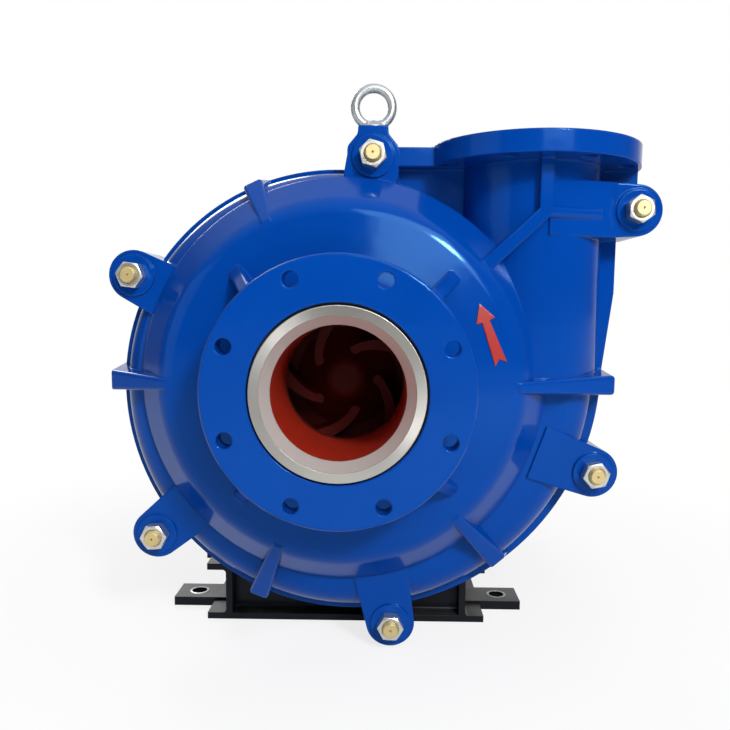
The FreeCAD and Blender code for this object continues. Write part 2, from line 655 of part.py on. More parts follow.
def casing_dome(inset):
    """The casing's turned middle, front and rear, filled in; inset gives the same form inside its wall."""
    slope_shift = inset / 3  # the shoulder's slope carries its foot back by about a third of the wall
    crest_shift = inset / 2
    return turned([
        (0, DOME_FOOT_DEPTH + inset),
        (SUCTION_NECK_DIAMETER / 2, DOME_FOOT_DEPTH + inset),
        (DOME_CREST_RADIUS - crest_shift, DOME_CREST_DEPTH + inset, DOME_CREST_ROUNDING),
        (DOME_RADIUS - inset, SHOULDER_FOOT_DEPTH + slope_shift),
        (DOME_RADIUS - inset, REAR_SHOULDER_DEPTH - slope_shift),
        (REAR_CREST_RADIUS - crest_shift, REAR_WALL_DEPTH - inset, REAR_CREST_ROUNDING),
        (0, REAR_WALL_DEPTH - inset),
    ])


def neck_rod(radius, low, high):
    """An upright round bar on the discharge axis."""
    return rod(radius, Vector(NECK_X, PARTING_DEPTH, low), high - low, ALONG_Z)


def casing_body():
    """The whole outer casing as one filled body, before it is hollowed and split at the parting plane."""
    flange = neck_rod(DISCHARGE_FLANGE_DIAMETER / 2, FLANGE_UNDERSIDE, DISCHARGE_FACE_HEIGHT)
    rim = rim_face(PARTING_DEPTH - RIM_THICKNESS)
    return joined([
        casing_dome(0),
        spiral_body(BODY_START_RADIUS, NECK_RADIUS, BODY_HALF_WIDTH, BODY_EDGE_ROUNDING, straight_neck=True),
        rim.extrude(ALONG_Y * (2 * RIM_THICKNESS)),
        flange,
    ])


def casing_cavity():
    """The hollow that takes the liners."""
    return joined([
        casing_dome(CASING_WALL),
        spiral_body(BODY_START_RADIUS - CASING_WALL, NECK_RADIUS - CASING_WALL, BODY_HALF_WIDTH - CASING_WALL,
                    CAVITY_EDGE_ROUNDING),
        neck_rod(NECK_RADIUS - CASING_WALL, FLANGE_UNDERSIDE, DISCHARGE_FACE_HEIGHT),
    ])


def half_space(front):
    """Everything in front of the parting plane, or behind it, to well past the casing."""
    reach = 4 * RIM_START_RADIUS
    depths = (PARTING_DEPTH - reach, PARTING_DEPTH) if front else (PARTING_DEPTH, PARTING_DEPTH + reach)
    return block((-reach, reach), depths, (-reach, reach))


# ---- cover studs and their lugs -----------------------------------------------------------------------------

def cover_stud_places():
    """The x and z of each cover stud, with the direction its lug points."""
    places = []
    for name, angle, standoff in COVER_STUDS:
        radius = spiral_radius(RIM_START_RADIUS, RIM_GROWTH, angle) + standoff
        point = polar(radius, angle)
        places.append((name, point.x, point.z, angle))
    places.append(("neck", NECK_X + NECK_STUD_OFFSET, FLANGE_UNDERSIDE - NECK_STUD_DROP, 0.0))
    return places


def lowest_lug():
    """How far the casing's lowest lug reaches below the shaft line."""
    return LUG_RADIUS - min(z for _, _, z, _ in cover_stud_places())


SHAFT_HEIGHT = lowest_lug() + CASING_FLOOR_GAP
FLOOR = -SHAFT_HEIGHT
CHANNEL_TOP = FLOOR + CHANNEL_HEIGHT
DECK_TOP = CHANNEL_TOP + DECK_THICKNESS
PUMP_ORIGIN = Vector(0, -(FRONT_FOOT_DEPTH + FOOT_SPACING_Y / 2), SHAFT_HEIGHT)


def lug(x, z, angle, front, rear):
    """A tongue that reaches from the casing out to a cover stud: a round end, and sides that spread inwards."""
    tongue = outline([
        (-LUG_LENGTH, -LUG_ROOT_HALF_WIDTH),
        (0, -LUG_RADIUS),
        (0, LUG_RADIUS),
        (-LUG_LENGTH, LUG_ROOT_HALF_WIDTH),
    ], at_depth(front)).extrude(ALONG_Y * (rear - front))
    end = rod(LUG_RADIUS, Vector(0, front, 0), rear - front)
    solid = turned_copy(tongue.fuse(end), angle)
    solid.translate(Vector(x, 0, z))
    return solid


def eye_lug_crown(x, front, rear):
    """The top lug's crown, which narrows to the lifting eye's seat."""
    foot = EYE_SEAT_HEIGHT - 2 * LUG_RADIUS
    shoulder = EYE_SEAT_HEIGHT - LUG_RADIUS + CROWN_SHOULDER_RISE
    neck = EYE_SEAT_HEIGHT - CROWN_NECK_DROP
    neck_half = EYE_COLLAR_DIAMETER / 2 + CROWN_NECK_MARGIN
    seat_half = EYE_COLLAR_DIAMETER / 2 + CROWN_SEAT_MARGIN
    return outline([
        (x - LUG_RADIUS, foot),
        (x - LUG_RADIUS, shoulder, CROWN_SHOULDER_ROUNDING),
        (x - neck_half, neck, CROWN_NECK_ROUNDING),
        (x - seat_half, EYE_SEAT_HEIGHT, CROWN_SEAT_MARGIN),
        (x + seat_half, EYE_SEAT_HEIGHT, CROWN_SEAT_MARGIN),
        (x + neck_half, neck, CROWN_NECK_ROUNDING),
        (x + LUG_RADIUS, shoulder, CROWN_SHOULDER_ROUNDING),
        (x + LUG_RADIUS, foot),
    ], at_depth(front)).extrude(ALONG_Y * (rear - front))


def stud_hole(x, z):
    """The clearance hole of a cover stud, through both casing halves."""
    radius = (STUD_DIAMETER + BOLT_HOLE_PLAY) / 2
    return rod(radius, Vector(x, STUD_FRONT_DEPTH, z), STUD_REAR_DEPTH - STUD_FRONT_DEPTH)


# ---- cover plate --------------------------------------------------------------------------------------------

def rounded(solid, radius, chosen):
    """The solid with the edges rounded that chosen() picks."""
    return solid.makeFillet(radius, [edge for edge in solid.Edges if chosen(edge)])


def drafted_rib(profile, crest_depth, crest_width, root_width):
    """A cast rib from its side profile on the shaft section, widening evenly from its crest to the parting plane."""
    half_root = root_width / 2
    half_crest = crest_width / 2
    plate = profile.extrude(ALONG_Z * root_width)
    plate.translate(ALONG_Z * -half_root)
    box = plate.BoundBox
    wedge = outline([
        (PARTING_DEPTH, -half_root), (crest_depth, -half_crest), (crest_depth, half_crest), (PARTING_DEPTH, half_root),
    ], at_side(box.XMin)).extrude(ALONG_X * box.XLength)
    return plate.common(wedge)


def rim_rib(angle, corner_standoff):
    """A rib that runs from the dome's crest over its shoulder to the parting rim."""
    rim = spiral_radius(RIM_START_RADIUS, RIM_GROWTH, 360 if angle == 0 else angle)
    crest_depth = DOME_CREST_DEPTH - JOIN_LAP
    profile = outline([
        (DOME_CREST_RADIUS - RIM_RIB_SINK, PARTING_DEPTH),
        (DOME_CREST_RADIUS - RIM_RIB_SINK, DOME_CREST_DEPTH + RIM_RIB_SINK_DEPTH),
        (DOME_CREST_RADIUS - RIM_RIB_CREST_INSET, crest_depth),
        (rim + corner_standoff, RIM_RIB_CORNER_DEPTH),
        (rim + RIM_RIB_OVERHANG, PARTING_DEPTH),
    ], on_shaft_section)
    rib = drafted_rib(profile, crest_depth, RIM_RIB_CREST_WIDTH, RIM_RIB_ROOT_WIDTH)

    def is_outer_edge(edge):
        """The long edges of the crest and of the outer end, and not those that cross the rib."""
        box = edge.BoundBox
        is_outside = box.XMax > DOME_CREST_RADIUS - JOIN_LAP and box.YMin < PARTING_DEPTH - JOIN_LAP
        return is_outside and box.XLength > 0.1 and box.ZLength < RIM_RIB_ROOT_WIDTH

    return turned_copy(rounded(rib, RIM_RIB_ROUNDING, is_outer_edge), angle)


def neck_gusset(angle):
    """A web between the back of the suction flange and the dome."""
    root = SUCTION_NECK_DIAMETER / 2 - NECK_GUSSET_SINK
    flange_edge = SUCTION_FLANGE_DIAMETER / 2
    crest_depth = SUCTION_FLANGE_THICKNESS + NECK_GUSSET_STEP
    web = outline([
        (root, SUCTION_FLANGE_THICKNESS - NECK_GUSSET_LAP),
        (flange_edge - NECK_GUSSET_INSET, SUCTION_FLANGE_THICKNESS - NECK_GUSSET_LAP),
        (flange_edge + NECK_GUSSET_STEP, crest_depth, NECK_GUSSET_CREST_ROUNDING),
        (NECK_GUSSET_REACH, DOME_CREST_DEPTH),
        (root, DOME_CREST_DEPTH),
    ], on_shaft_section)
    web.translate(Vector(0, 0, -NECK_GUSSET_WIDTH / 2))
    web = web.extrude(ALONG_Z * NECK_GUSSET_WIDTH)

    def is_crest_edge(edge):
        """The two long edges of the slope from the crest down to the dome."""
        box = edge.BoundBox
        is_long = box.XLength > NECK_GUSSET_WIDTH and box.YLength > NECK_GUSSET_WIDTH
        return is_long and box.XMax > flange_edge + NECK_GUSSET_STEP / 2

    return turned_copy(rounded(web, NECK_GUSSET_ROUNDING, is_crest_edge), angle)


def forked_rib():
    """The rib under the discharge flange: down the neck, then one arm to the dome and one out to the neck's lug."""
    half = NECK_RIB_WIDTH / 2
    fork = NECK_RIB_FORK_HEIGHT
    foot_x, foot_z = NECK_RIB_FOOT
    arm_end = NECK_X + NECK_STUD_OFFSET - LUG_BOSS_RADIUS - NECK_RIB_WIDTH
    depth = PARTING_DEPTH - NECK_RIB_FRONT_DEPTH
    trunk_x = (NECK_X - half, NECK_X + half)
    trunk = block(trunk_x, (NECK_RIB_FRONT_DEPTH, PARTING_DEPTH), (fork, FLANGE_UNDERSIDE + JOIN_LAP))
    run = Vector(foot_x - NECK_X, 0, foot_z - fork)
    side = Vector(run.z, 0, -run.x).normalize() * half
    start = Vector(NECK_X, NECK_RIB_FRONT_DEPTH, fork)
    corners = [start + side, start + run + side, start + run - side, start - side, start + side]
    leg = Part.Face(Part.makePolygon(corners)).extrude(ALONG_Y * depth)
    knee = rod(half, start, depth)
    arm = outline([
        (NECK_X, NECK_RIB_FRONT_DEPTH),
        (arm_end, LUG_FRONT_DEPTH - LUG_BOSS_HEIGHT - NECK_RIB_ARM_STEP, NECK_RIB_ARM_STEP),
        (arm_end, PARTING_DEPTH),
        (NECK_X, PARTING_DEPTH),
    ], at_height(fork - half)).extrude(ALONG_Z * NECK_RIB_WIDTH)

    def is_sloping_edge(edge):
        """The edges of the arm's sloping front."""
        return edge.BoundBox.YMax < LUG_FRONT_DEPTH and edge.BoundBox.XLength > half

    return [trunk, leg, knee, rounded(arm, half - JOIN_LAP, is_sloping_edge)]


def neck_arm():
    """The plate from the neck out to its lug, behind the forked rib's level arm."""
    lug_x = NECK_X + NECK_STUD_OFFSET
    centre_z = FLANGE_UNDERSIDE - NECK_STUD_DROP
    plan = outline([
        NECK_ARM_START,
        (*NECK_ARM_KNEE, NECK_ARM_ROUNDING),
        (lug_x - LUG_BOSS_RADIUS, LUG_FRONT_DEPTH),
        (lug_x - LUG_BOSS_RADIUS, PARTING_DEPTH),
        (NECK_ARM_START[0], PARTING_DEPTH),
    ], at_height(centre_z - NECK_ARM_HALF_HEIGHT))
    return plan.extrude(ALONG_Z * (2 * NECK_ARM_HALF_HEIGHT))


def neck_cheek():
    """The rim's ear between the discharge flange and the neck's lug."""
    flange_radius = DISCHARGE_FLANGE_DIAMETER / 2
    lug_z = FLANGE_UNDERSIDE - NECK_STUD_DROP
    x_range = (NECK_X + NECK_RADIUS - NECK_CHEEK_SINK, NECK_X + flange_radius - NECK_CHEEK_INSET)
    depths = (PARTING_DEPTH - RIM_THICKNESS, PARTING_DEPTH)
    return block(x_range, depths, (lug_z, FLANGE_UNDERSIDE + JOIN_LAP))


def tie_bar():
    """The bar from the top lug to the discharge flange, with the web under it down to the volute."""
    start = cover_stud_places()[0][1]
    top = FLANGE_UNDERSIDE + TIE_BAR_HEIGHT - TIE_BAR_RISE
    bar_end = NECK_X - DISCHARGE_FLANGE_DIAMETER / 2 + TIE_BAR_LAP
    bar_depths = (PARTING_DEPTH - TIE_BAR_DEPTH, PARTING_DEPTH)
    bar = block((start, bar_end), bar_depths, (top - TIE_BAR_HEIGHT, top))
    web_depths = (PARTING_DEPTH - RIM_THICKNESS, PARTING_DEPTH)
    web_z = (BODY_START_RADIUS - TIE_WEB_SINK, FLANGE_UNDERSIDE + JOIN_LAP)
    web = block((start, NECK_X - NECK_RADIUS / 2), web_depths, web_z)
    return [bar, web]


def flange_bolt_holes(front):
    """The discharge flange's bolt holes; they straddle the parting plane, so each lies in one half."""
    holes = []
    for index in range(FLANGE_BOLT_COUNT):
        turn = math.radians((index + 0.5) * 360 / FLANGE_BOLT_COUNT)
        x = NECK_X + DISCHARGE_BOLT_CIRCLE / 2 * math.cos(turn)
        depth = PARTING_DEPTH + DISCHARGE_BOLT_CIRCLE / 2 * math.sin(turn)
        if (depth < PARTING_DEPTH) == front:
            start = Vector(x, depth, FLANGE_UNDERSIDE)
            holes.append(rod(DISCHARGE_BOLT_HOLE / 2, start, DISCHARGE_FLANGE_THICKNESS, ALONG_Z))
    return holes


def cover_plate(body, cavity):
    """The front casing half, with the suction flange."""
    flange_edge = SUCTION_FLANGE_DIAMETER / 2
    neck_radius = SUCTION_NECK_DIAMETER / 2
    solids = [body.common(half_space(front=True))]
    solids.append(turned([
        (0, 0),
        (flange_edge - SUCTION_FLANGE_CHAMFER, 0),
        (flange_edge, SUCTION_FLANGE_CHAMFER),
        (flange_edge, SUCTION_FLANGE_THICKNESS),
        (neck_radius, SUCTION_FLANGE_THICKNESS),
        (neck_radius, DOME_FOOT_DEPTH - NECK_FLARE_HEIGHT),
        (neck_radius + NECK_FLARE_WIDTH, DOME_FOOT_DEPTH + NECK_FLARE_SINK),
        (0, DOME_FOOT_DEPTH + NECK_FLARE_SINK),
    ]))
    for name, x, z, angle in cover_stud_places():
        solids.append(lug(x, z, angle, LUG_FRONT_DEPTH, PARTING_DEPTH))
        solids.append(rod(LUG_BOSS_RADIUS, Vector(x, LUG_FRONT_DEPTH - LUG_BOSS_HEIGHT, z), LUG_BOSS_HEIGHT))
        if name == "top":
            solids.append(eye_lug_crown(x, LUG_FRONT_DEPTH, PARTING_DEPTH))
            eye_x = x
    solids += [rim_rib(angle, standoff) for angle, standoff in RIM_RIBS]
    solids += [neck_gusset(angle) for angle in NECK_GUSSET_ANGLES]
    solids += forked_rib()
    solids += tie_bar()
    solids += [neck_arm(), neck_cheek()]
    solid = joined(solids)
    bore_radius = THROAT_DIAMETER / 2 + THROAT_SIDE_GAP
    cuts = [cavity, rod(bore_radius, Vector(), PARTING_DEPTH)]
    cuts += [stud_hole(x, z) for _, x, z, _ in cover_stud_places()]
    for index in range(FLANGE_BOLT_COUNT):
        centre = polar(SUCTION_BOLT_CIRCLE / 2, (index + 0.5) * 360 / FLANGE_BOLT_COUNT)
        cuts.append(rod(SUCTION_BOLT_HOLE / 2, centre, SUCTION_FLANGE_THICKNESS))
    cuts += flange_bolt_holes(front=True)
    cuts.append(eye_socket(eye_x))
    return solid.cut(cuts)


def eye_depth():
    """The lifting eye stands in the middle of the cover plate's top lug."""
    return (LUG_FRONT_DEPTH + PARTING_DEPTH) / 2


def eye_socket(x):
    """The tapped hole of the lifting eye."""
    start = Vector(x, eye_depth(), EYE_SEAT_HEIGHT - EYE_THREAD_DIAMETER)
    return rod(EYE_THREAD_DIAMETER / 2, start, EYE_THREAD_DIAMETER, ALONG_Z)


def lifting_eye():
    """An eye bolt: a ring across the shaft on a collar and a threaded shank."""
    x = cover_stud_places()[0][1]
    centre = Vector(x, eye_depth(), EYE_SEAT_HEIGHT + EYE_CENTRE_HEIGHT)
    middle_radius = (EYE_OUTER_DIAMETER - EYE_SECTION) / 2
    loop = Part.makeTorus(middle_radius, EYE_SECTION / 2, centre, ALONG_Y)
    seat = Vector(x, eye_depth(), EYE_SEAT_HEIGHT)
    collar_top = EYE_SECTION / 2 + EYE_COLLAR_NECK
    collar = Part.makeCone(EYE_COLLAR_DIAMETER / 2, collar_top, EYE_COLLAR_HEIGHT, seat, ALONG_Z)
    shank_end = seat - ALONG_Z * EYE_THREAD_DIAMETER
    shank = rod(EYE_THREAD_DIAMETER / 2, shank_end, EYE_THREAD_DIAMETER + EYE_SHANK_LAP, ALONG_Z)
    solid = joined([loop, collar, shank])
    opening = rod(EYE_BORE_DIAMETER / 2, centre - ALONG_Y * EYE_SECTION, 2 * EYE_SECTION)
    return solid.cut(opening)


# ---- frame plate --------------------------------------------------------------------------------------------

def around(radius, count, depth, first_angle=0.0):
    """Points evenly spaced on a circle about the shaft."""
    return [polar(radius, first_angle + 360 * index / count, depth) for index in range(count)]


def frame_plate(body, cavity):
    """The rear casing half, with the ring that stands on the bearing pedestal."""
    rear_lug_depth = PARTING_DEPTH + REAR_LUG_THICKNESS
    solids = [body.common(half_space(front=False))]
    solids.append(ring(0, HUB_RING_RADIUS, REAR_WALL_DEPTH - CASING_WALL, HUB_RING_DEPTH))
    for _, x, z, angle in cover_stud_places():
        solids.append(lug(x, z, angle, PARTING_DEPTH, rear_lug_depth))
    solid = joined(solids)
    box_seat = rod(BOX_FLANGE_RADIUS + SMALL_GAP, Vector(0, PARTING_DEPTH, 0), HUB_RING_DEPTH - PARTING_DEPTH)
    cuts = [cavity, box_seat]
    cuts += [stud_hole(x, z) for _, x, z, _ in cover_stud_places()]
    cuts += flange_bolt_holes(front=False)
    for point in frame_stud_places(HUB_RING_DEPTH):
        cuts.append(rod(FRAME_STUD_DIAMETER / 2, point, FRAME_STUD_DIAMETER, -ALONG_Y))
    liner_stud_hole = (LINER_STUD_DIAMETER + BOLT_HOLE_PLAY) / 2
    for point in liner_stud_places(INSERT_FRONT_DEPTH):
        cuts.append(rod(liner_stud_hole, point, HUB_RING_DEPTH - INSERT_FRONT_DEPTH))
    return solid.cut(cuts)


def cover_studs():
    """The six long studs that hold the casing halves together, with a drill centre in each front end."""
    studs = []
    for _, x, z, _ in cover_stud_places():
        start = Vector(x, STUD_FRONT_DEPTH, z)
        stud = rod(STUD_DIAMETER / 2, start, STUD_REAR_DEPTH - STUD_FRONT_DEPTH)
        stud = stud.makeChamfer(STUD_CHAMFER, [edge for edge in stud.Edges if len(edge.Vertexes) == 1])
        studs.append(stud.cut(Part.makeCone(STUD_CENTRE_RADIUS, 0, STUD_CENTRE_RADIUS, start, ALONG_Y)))
    return group(studs)


def cover_nuts(seat, direction):
    """A nut on each cover stud, seated on a lug."""
    return group([
        nut(NUT_ACROSS_FLATS, STUD_DIAMETER, Vector(x, seat, z), NUT_HEIGHT, direction)
        for _, x, z, _ in cover_stud_places()
    ])


# ---- liners -------------------------------------------------------------------------------------------------

def volute_liner():
    """The hard metal volute: spiral body, side collars for the seal rings, and the discharge nozzle."""
    half_width = BODY_HALF_WIDTH - LINER_INSET
    collar_radius = SIDE_LINER_RADIUS + SEAL_RING_WIDTH
    collar_front = PARTING_DEPTH - half_width - COLLAR_REACH
    collar_rear = PARTING_DEPTH + half_width + COLLAR_REACH
    outside = joined([
        spiral_body(BODY_START_RADIUS - LINER_INSET, NOZZLE_RADIUS, half_width, CAVITY_EDGE_ROUNDING - LINER_GAP),
        neck_rod(NOZZLE_RADIUS, FLANGE_UNDERSIDE, DISCHARGE_FACE_HEIGHT),
        ring(0, collar_radius + COLLAR_WALL, collar_front, collar_rear),
    ])
    passage_start = BODY_START_RADIUS - LINER_INSET - LINER_WALL
    passage = spiral_body(passage_start, NOZZLE_BORE_RADIUS, half_width - LINER_WALL, PASSAGE_EDGE_ROUNDING)
    nozzle_bore = neck_rod(NOZZLE_BORE_RADIUS, FLANGE_UNDERSIDE, DISCHARGE_FACE_HEIGHT)
    side_opening = ring(0, collar_radius, PARTING_DEPTH - NOZZLE_RADIUS, PARTING_DEPTH + NOZZLE_RADIUS)
    return outside.cut([passage, nozzle_bore, side_opening])


def throatbush():
    """The inlet bush and front side liner in one: a tube with a machined, tapered mouth, and a plate at its back."""
    bore = THROAT_BORE_DIAMETER / 2
    tube = THROAT_DIAMETER / 2
    plate_front = THROAT_REAR_DEPTH - THROAT_PLATE_THICKNESS
    return turned([
        (bore, THROAT_REAR_DEPTH, THROAT_BORE_ROUNDING),
        (SIDE_LINER_RADIUS, THROAT_REAR_DEPTH, THROAT_PLATE_ROUNDING),
        (SIDE_LINER_RADIUS, plate_front + THROAT_SHOULDER_HEIGHT, THROAT_SHOULDER_ROUNDING),
        (tube + THROAT_ROOT_WIDTH, plate_front, THROAT_ROOT_ROUNDING),
        (tube, plate_front - THROAT_ROOT_HEIGHT),
        (tube, -THROAT_PROTRUSION, THROAT_EDGE_ROUNDING),
        (THROAT_FACE_DIAMETER / 2, -THROAT_PROTRUSION),
        (bore, THROAT_TAPER_LENGTH - THROAT_PROTRUSION),
    ])


def liner_insert():
    """The rear side liner, held to the frame plate by studs from behind."""
    plate = ring(INSERT_BORE_RADIUS, SIDE_LINER_RADIUS, INSERT_FRONT_DEPTH, BOX_SPIGOT_DEPTH)
    holes = [
        rod(LINER_STUD_DIAMETER / 2, point, INSERT_THICKNESS / 2, -ALONG_Y)
        for point in liner_stud_places(BOX_SPIGOT_DEPTH)
    ]
    return plate.cut(holes)


def liner_stud_places(depth):
    """Four studs on a circle just outside the frame plate's ring."""
    return around(LINER_STUD_CIRCLE / 2, 4, depth, LINER_STUD_ANGLE)


def liner_studs():
    """The liner insert's studs."""
    start = INSERT_FRONT_DEPTH + INSERT_THICKNESS / 2
    length = REAR_WALL_DEPTH + HEX_WIDTH_SHARE * LINER_STUD_DIAMETER - start
    return group([rod(LINER_STUD_DIAMETER / 2, point, length) for point in liner_stud_places(start)])


def liner_stud_nuts():
    """Their nuts, on the frame plate's back."""
    return group([standard_nut(LINER_STUD_DIAMETER, point) for point in liner_stud_places(REAR_WALL_DEPTH)])


def side_seal(front, rear):
    """A rubber ring between a side liner's edge and the volute liner's collar."""
    return ring(SIDE_LINER_RADIUS, SIDE_LINER_RADIUS + SEAL_RING_WIDTH, front, rear)


def discharge_joint():
    """The rubber joint ring round the nozzle in the discharge flange's face."""
    outer = neck_rod(NECK_RADIUS - CASING_WALL, DISCHARGE_FACE_HEIGHT - JOINT_DEPTH, DISCHARGE_FACE_HEIGHT)
    return outer.cut(neck_rod(NOZZLE_RADIUS, DISCHARGE_FACE_HEIGHT - JOINT_DEPTH, DISCHARGE_FACE_HEIGHT))


def intake_joint():
    """The rubber ring between the throatbush and the cover plate's bore, behind the machined mouth."""
    return ring(THROAT_DIAMETER / 2, THROAT_DIAMETER / 2 + THROAT_SIDE_GAP, JOINT_DEPTH, 2.5 * JOINT_DEPTH)


# ---- impeller -----------------------------------------------------------------------------------------------

def vane_outline(depth):
    """A backward-curved vane seen from the front, thick at its rounded nose and thinner at its tail."""
    outer_side = []
    inner_side = []
    for step in range(VANE_STEPS + 1):
        share = step / VANE_STEPS
        radius = VANE_INNER_RADIUS * (IMPELLER_RADIUS / VANE_INNER_RADIUS) ** share
        thickness = VANE_THICKNESS + (VANE_TAIL_THICKNESS - VANE_THICKNESS) * share
        spread = math.degrees(thickness / 2 / radius) * min(1, VANE_NOSE_SHARE + share)
        outer_side.append(polar(radius, -VANE_WRAP * share + spread, depth))
        inner_side.append(polar(radius, -VANE_WRAP * share - spread, depth))
    lead = Part.BSplineCurve()
    lead.interpolate(outer_side)
    trail = Part.BSplineCurve()
    trail.interpolate(inner_side[::-1])
    nose_point = polar(VANE_INNER_RADIUS - VANE_THICKNESS / 4, 0, depth)
    nose = Part.Arc(inner_side[0], nose_point, outer_side[0])
    tail = Part.LineSegment(outer_side[-1], inner_side[-1])
    return Part.Face(Part.Wire([lead.toShape(), tail.toShape(), trail.toShape(), nose.toShape()]))


def pump_out_vanes(depth, height, direction):
    """Low straight ribs on a shroud's outer face that keep grit out of the side gap."""
    half = PUMP_OUT_VANE_WIDTH / 2
    rib_x = (HUB_RADIUS + PUMP_OUT_VANE_START, IMPELLER_RADIUS - PUMP_OUT_VANE_INSET)
    rib = block(rib_x, (0, height), (-half, half))
    start = depth if direction > 0 else depth - height
    rib.translate(Vector(0, start, 0))
    return [turned_copy(rib, 360 * index / PUMP_OUT_VANE_COUNT) for index in range(PUMP_OUT_VANE_COUNT)]


def impeller():
    """The closed impeller: two shrouds, five thick vanes between them, hub nose, and low ribs outside."""
    eye = THROAT_BORE_DIAMETER / 2
    front_shroud = turned([
        (eye, IMPELLER_FRONT_DEPTH),
        (IMPELLER_RADIUS, IMPELLER_FRONT_DEPTH),
        (IMPELLER_RADIUS, PASSAGE_FRONT_DEPTH),
        (eye + EYE_LIP_WIDTH, PASSAGE_FRONT_DEPTH),
        (eye, PASSAGE_FRONT_DEPTH - EYE_LIP_HEIGHT),
    ])
    back_shroud = ring(0, IMPELLER_RADIUS, PASSAGE_REAR_DEPTH, IMPELLER_REAR_DEPTH)
    nose = turned([
        (0, PASSAGE_REAR_DEPTH - HUB_NOSE_LENGTH),
        (HUB_NOSE_RADIUS * HUB_NOSE_TIP_SHARE, PASSAGE_REAR_DEPTH - HUB_NOSE_LENGTH, HUB_NOSE_TIP_ROUNDING),
        (HUB_NOSE_RADIUS, PASSAGE_REAR_DEPTH - HUB_NOSE_LENGTH / 2, HUB_NOSE_ROUNDING),
        (HUB_NOSE_RADIUS + HUB_NOSE_FLARE, PASSAGE_REAR_DEPTH + JOIN_LAP),
        (0, PASSAGE_REAR_DEPTH + JOIN_LAP),
    ])
    hub = ring(0, HUB_RADIUS, IMPELLER_REAR_DEPTH - JOIN_LAP, SLEEVE_FRONT_DEPTH)
    cone_length = PASSAGE_WIDTH * INLET_CONE_SHARE
    inlet = Part.makeCone(eye, VANE_INNER_RADIUS, cone_length, Vector(0, PASSAGE_FRONT_DEPTH, 0), ALONG_Y)
    vane_face = vane_outline(PASSAGE_FRONT_DEPTH - JOIN_LAP)
    vane = vane_face.extrude(ALONG_Y * (PASSAGE_WIDTH + 2 * JOIN_LAP)).cut(inlet)
    vanes = [turned_copy(vane, 360 * index / VANE_COUNT) for index in range(VANE_COUNT)]
    rib_height = PUMP_OUT_VANE_HEIGHT + JOIN_LAP
    ribs = pump_out_vanes(IMPELLER_FRONT_DEPTH + JOIN_LAP, rib_height, -1)
    ribs += pump_out_vanes(IMPELLER_REAR_DEPTH - JOIN_LAP, rib_height, 1)
    solid = joined([front_shroud, back_shroud, nose, hub] + vanes + ribs)
    thread_start = Vector(0, SHAFT_FRONT_DEPTH, 0)
    return solid.cut(rod(IMPELLER_THREAD_RADIUS, thread_start, SLEEVE_FRONT_DEPTH - SHAFT_FRONT_DEPTH))


# ---- stuffing box and gland ---------------------------------------------------------------------------------

def stuffing_box():
    """The box that seals the shaft: flange in the frame plate, front spigot, barrel with two ears."""
    neck_radius = SLEEVE_DIAMETER / 2 + BOX_NECK_GAP
    body = turned([
        (HUB_RADIUS + HUB_END_GAP, BOX_SPIGOT_DEPTH),
        (BOX_SPIGOT_RADIUS, BOX_SPIGOT_DEPTH),
        (BOX_SPIGOT_RADIUS, BOX_FLANGE_FRONT_DEPTH),
        (BOX_FLANGE_RADIUS, BOX_FLANGE_FRONT_DEPTH),
        (BOX_FLANGE_RADIUS, BOX_FLANGE_REAR_DEPTH),
        (BOX_BARREL_RADIUS, BOX_FLANGE_REAR_DEPTH, BOX_BARREL_ROUNDING),
        (BOX_BARREL_RADIUS, BOX_END_DEPTH),
        (CHAMBER_RADIUS, BOX_END_DEPTH),
        (CHAMBER_RADIUS, CHAMBER_FRONT_DEPTH),
        (neck_radius, CHAMBER_FRONT_DEPTH),
        (neck_radius, SLEEVE_FRONT_DEPTH + HUB_END_GAP),
        (HUB_RADIUS + HUB_END_GAP, SLEEVE_FRONT_DEPTH + HUB_END_GAP),
    ])
    ears = gland_flange_outline(BOX_EAR_FRONT_DEPTH).extrude(ALONG_Y * BOX_EAR_THICKNESS)
    cuts = [rod(BOX_BARREL_RADIUS - BOX_EAR_LAP, Vector(0, BOX_EAR_FRONT_DEPTH, 0), BOX_EAR_THICKNESS)]
    for point in gland_bolt_places(BOX_EAR_FRONT_DEPTH):
        cuts.append(rod(GLAND_BOLT_DIAMETER / 2, point, BOX_EAR_THICKNESS))
    ears = ears.cut(cuts)
    boss_start = Vector(0, WATER_BOSS_DEPTH, BOX_BARREL_RADIUS - WATER_BOSS_SINK)
    boss = rod(WATER_BOSS_RADIUS, boss_start, WATER_BOSS_HEIGHT, ALONG_Z)
    inlet = rod(WATER_PLUG_RADIUS, Vector(0, WATER_BOSS_DEPTH, CHAMBER_RADIUS), BOX_BARREL_RADIUS, ALONG_Z)
    return joined([body, ears, boss]).cut(inlet)


def stuffing_box_seal():
    """The rubber ring round the box's spigot."""
    return ring(BOX_SPIGOT_RADIUS, BOX_SPIGOT_RADIUS + SEAL_RING_WIDTH, BOX_SPIGOT_DEPTH, BOX_FLANGE_FRONT_DEPTH)


def gland_flange_outline(depth):
    """An oval plate face: a disc with a round ear at each side for the gland bolts."""
    thickness = 1.0  # of the thin plate that gives the face
    disc = rod(GLAND_PLATE_RADIUS, Vector(0, depth, 0), thickness)
    span = GLAND_BOLT_SPAN / 2
    half = GLAND_BOLT_DIAMETER * GLAND_EAR_SHARE
    arm = block((-span, span), (depth, depth + thickness), (-half, half))
    ears = [rod(half, point, thickness) for point in gland_bolt_places(depth)]
    plate = joined([disc, arm] + ears)
    return [face for face in plate.Faces if abs(face.CenterOfMass.y - depth) < 0.01][0]


def gland_bolt_places(depth):
    """The gland bolts stand level with the shaft, one at each side."""
    return [Vector(side * GLAND_BOLT_SPAN / 2, depth, 0) for side in (-1, 1)]


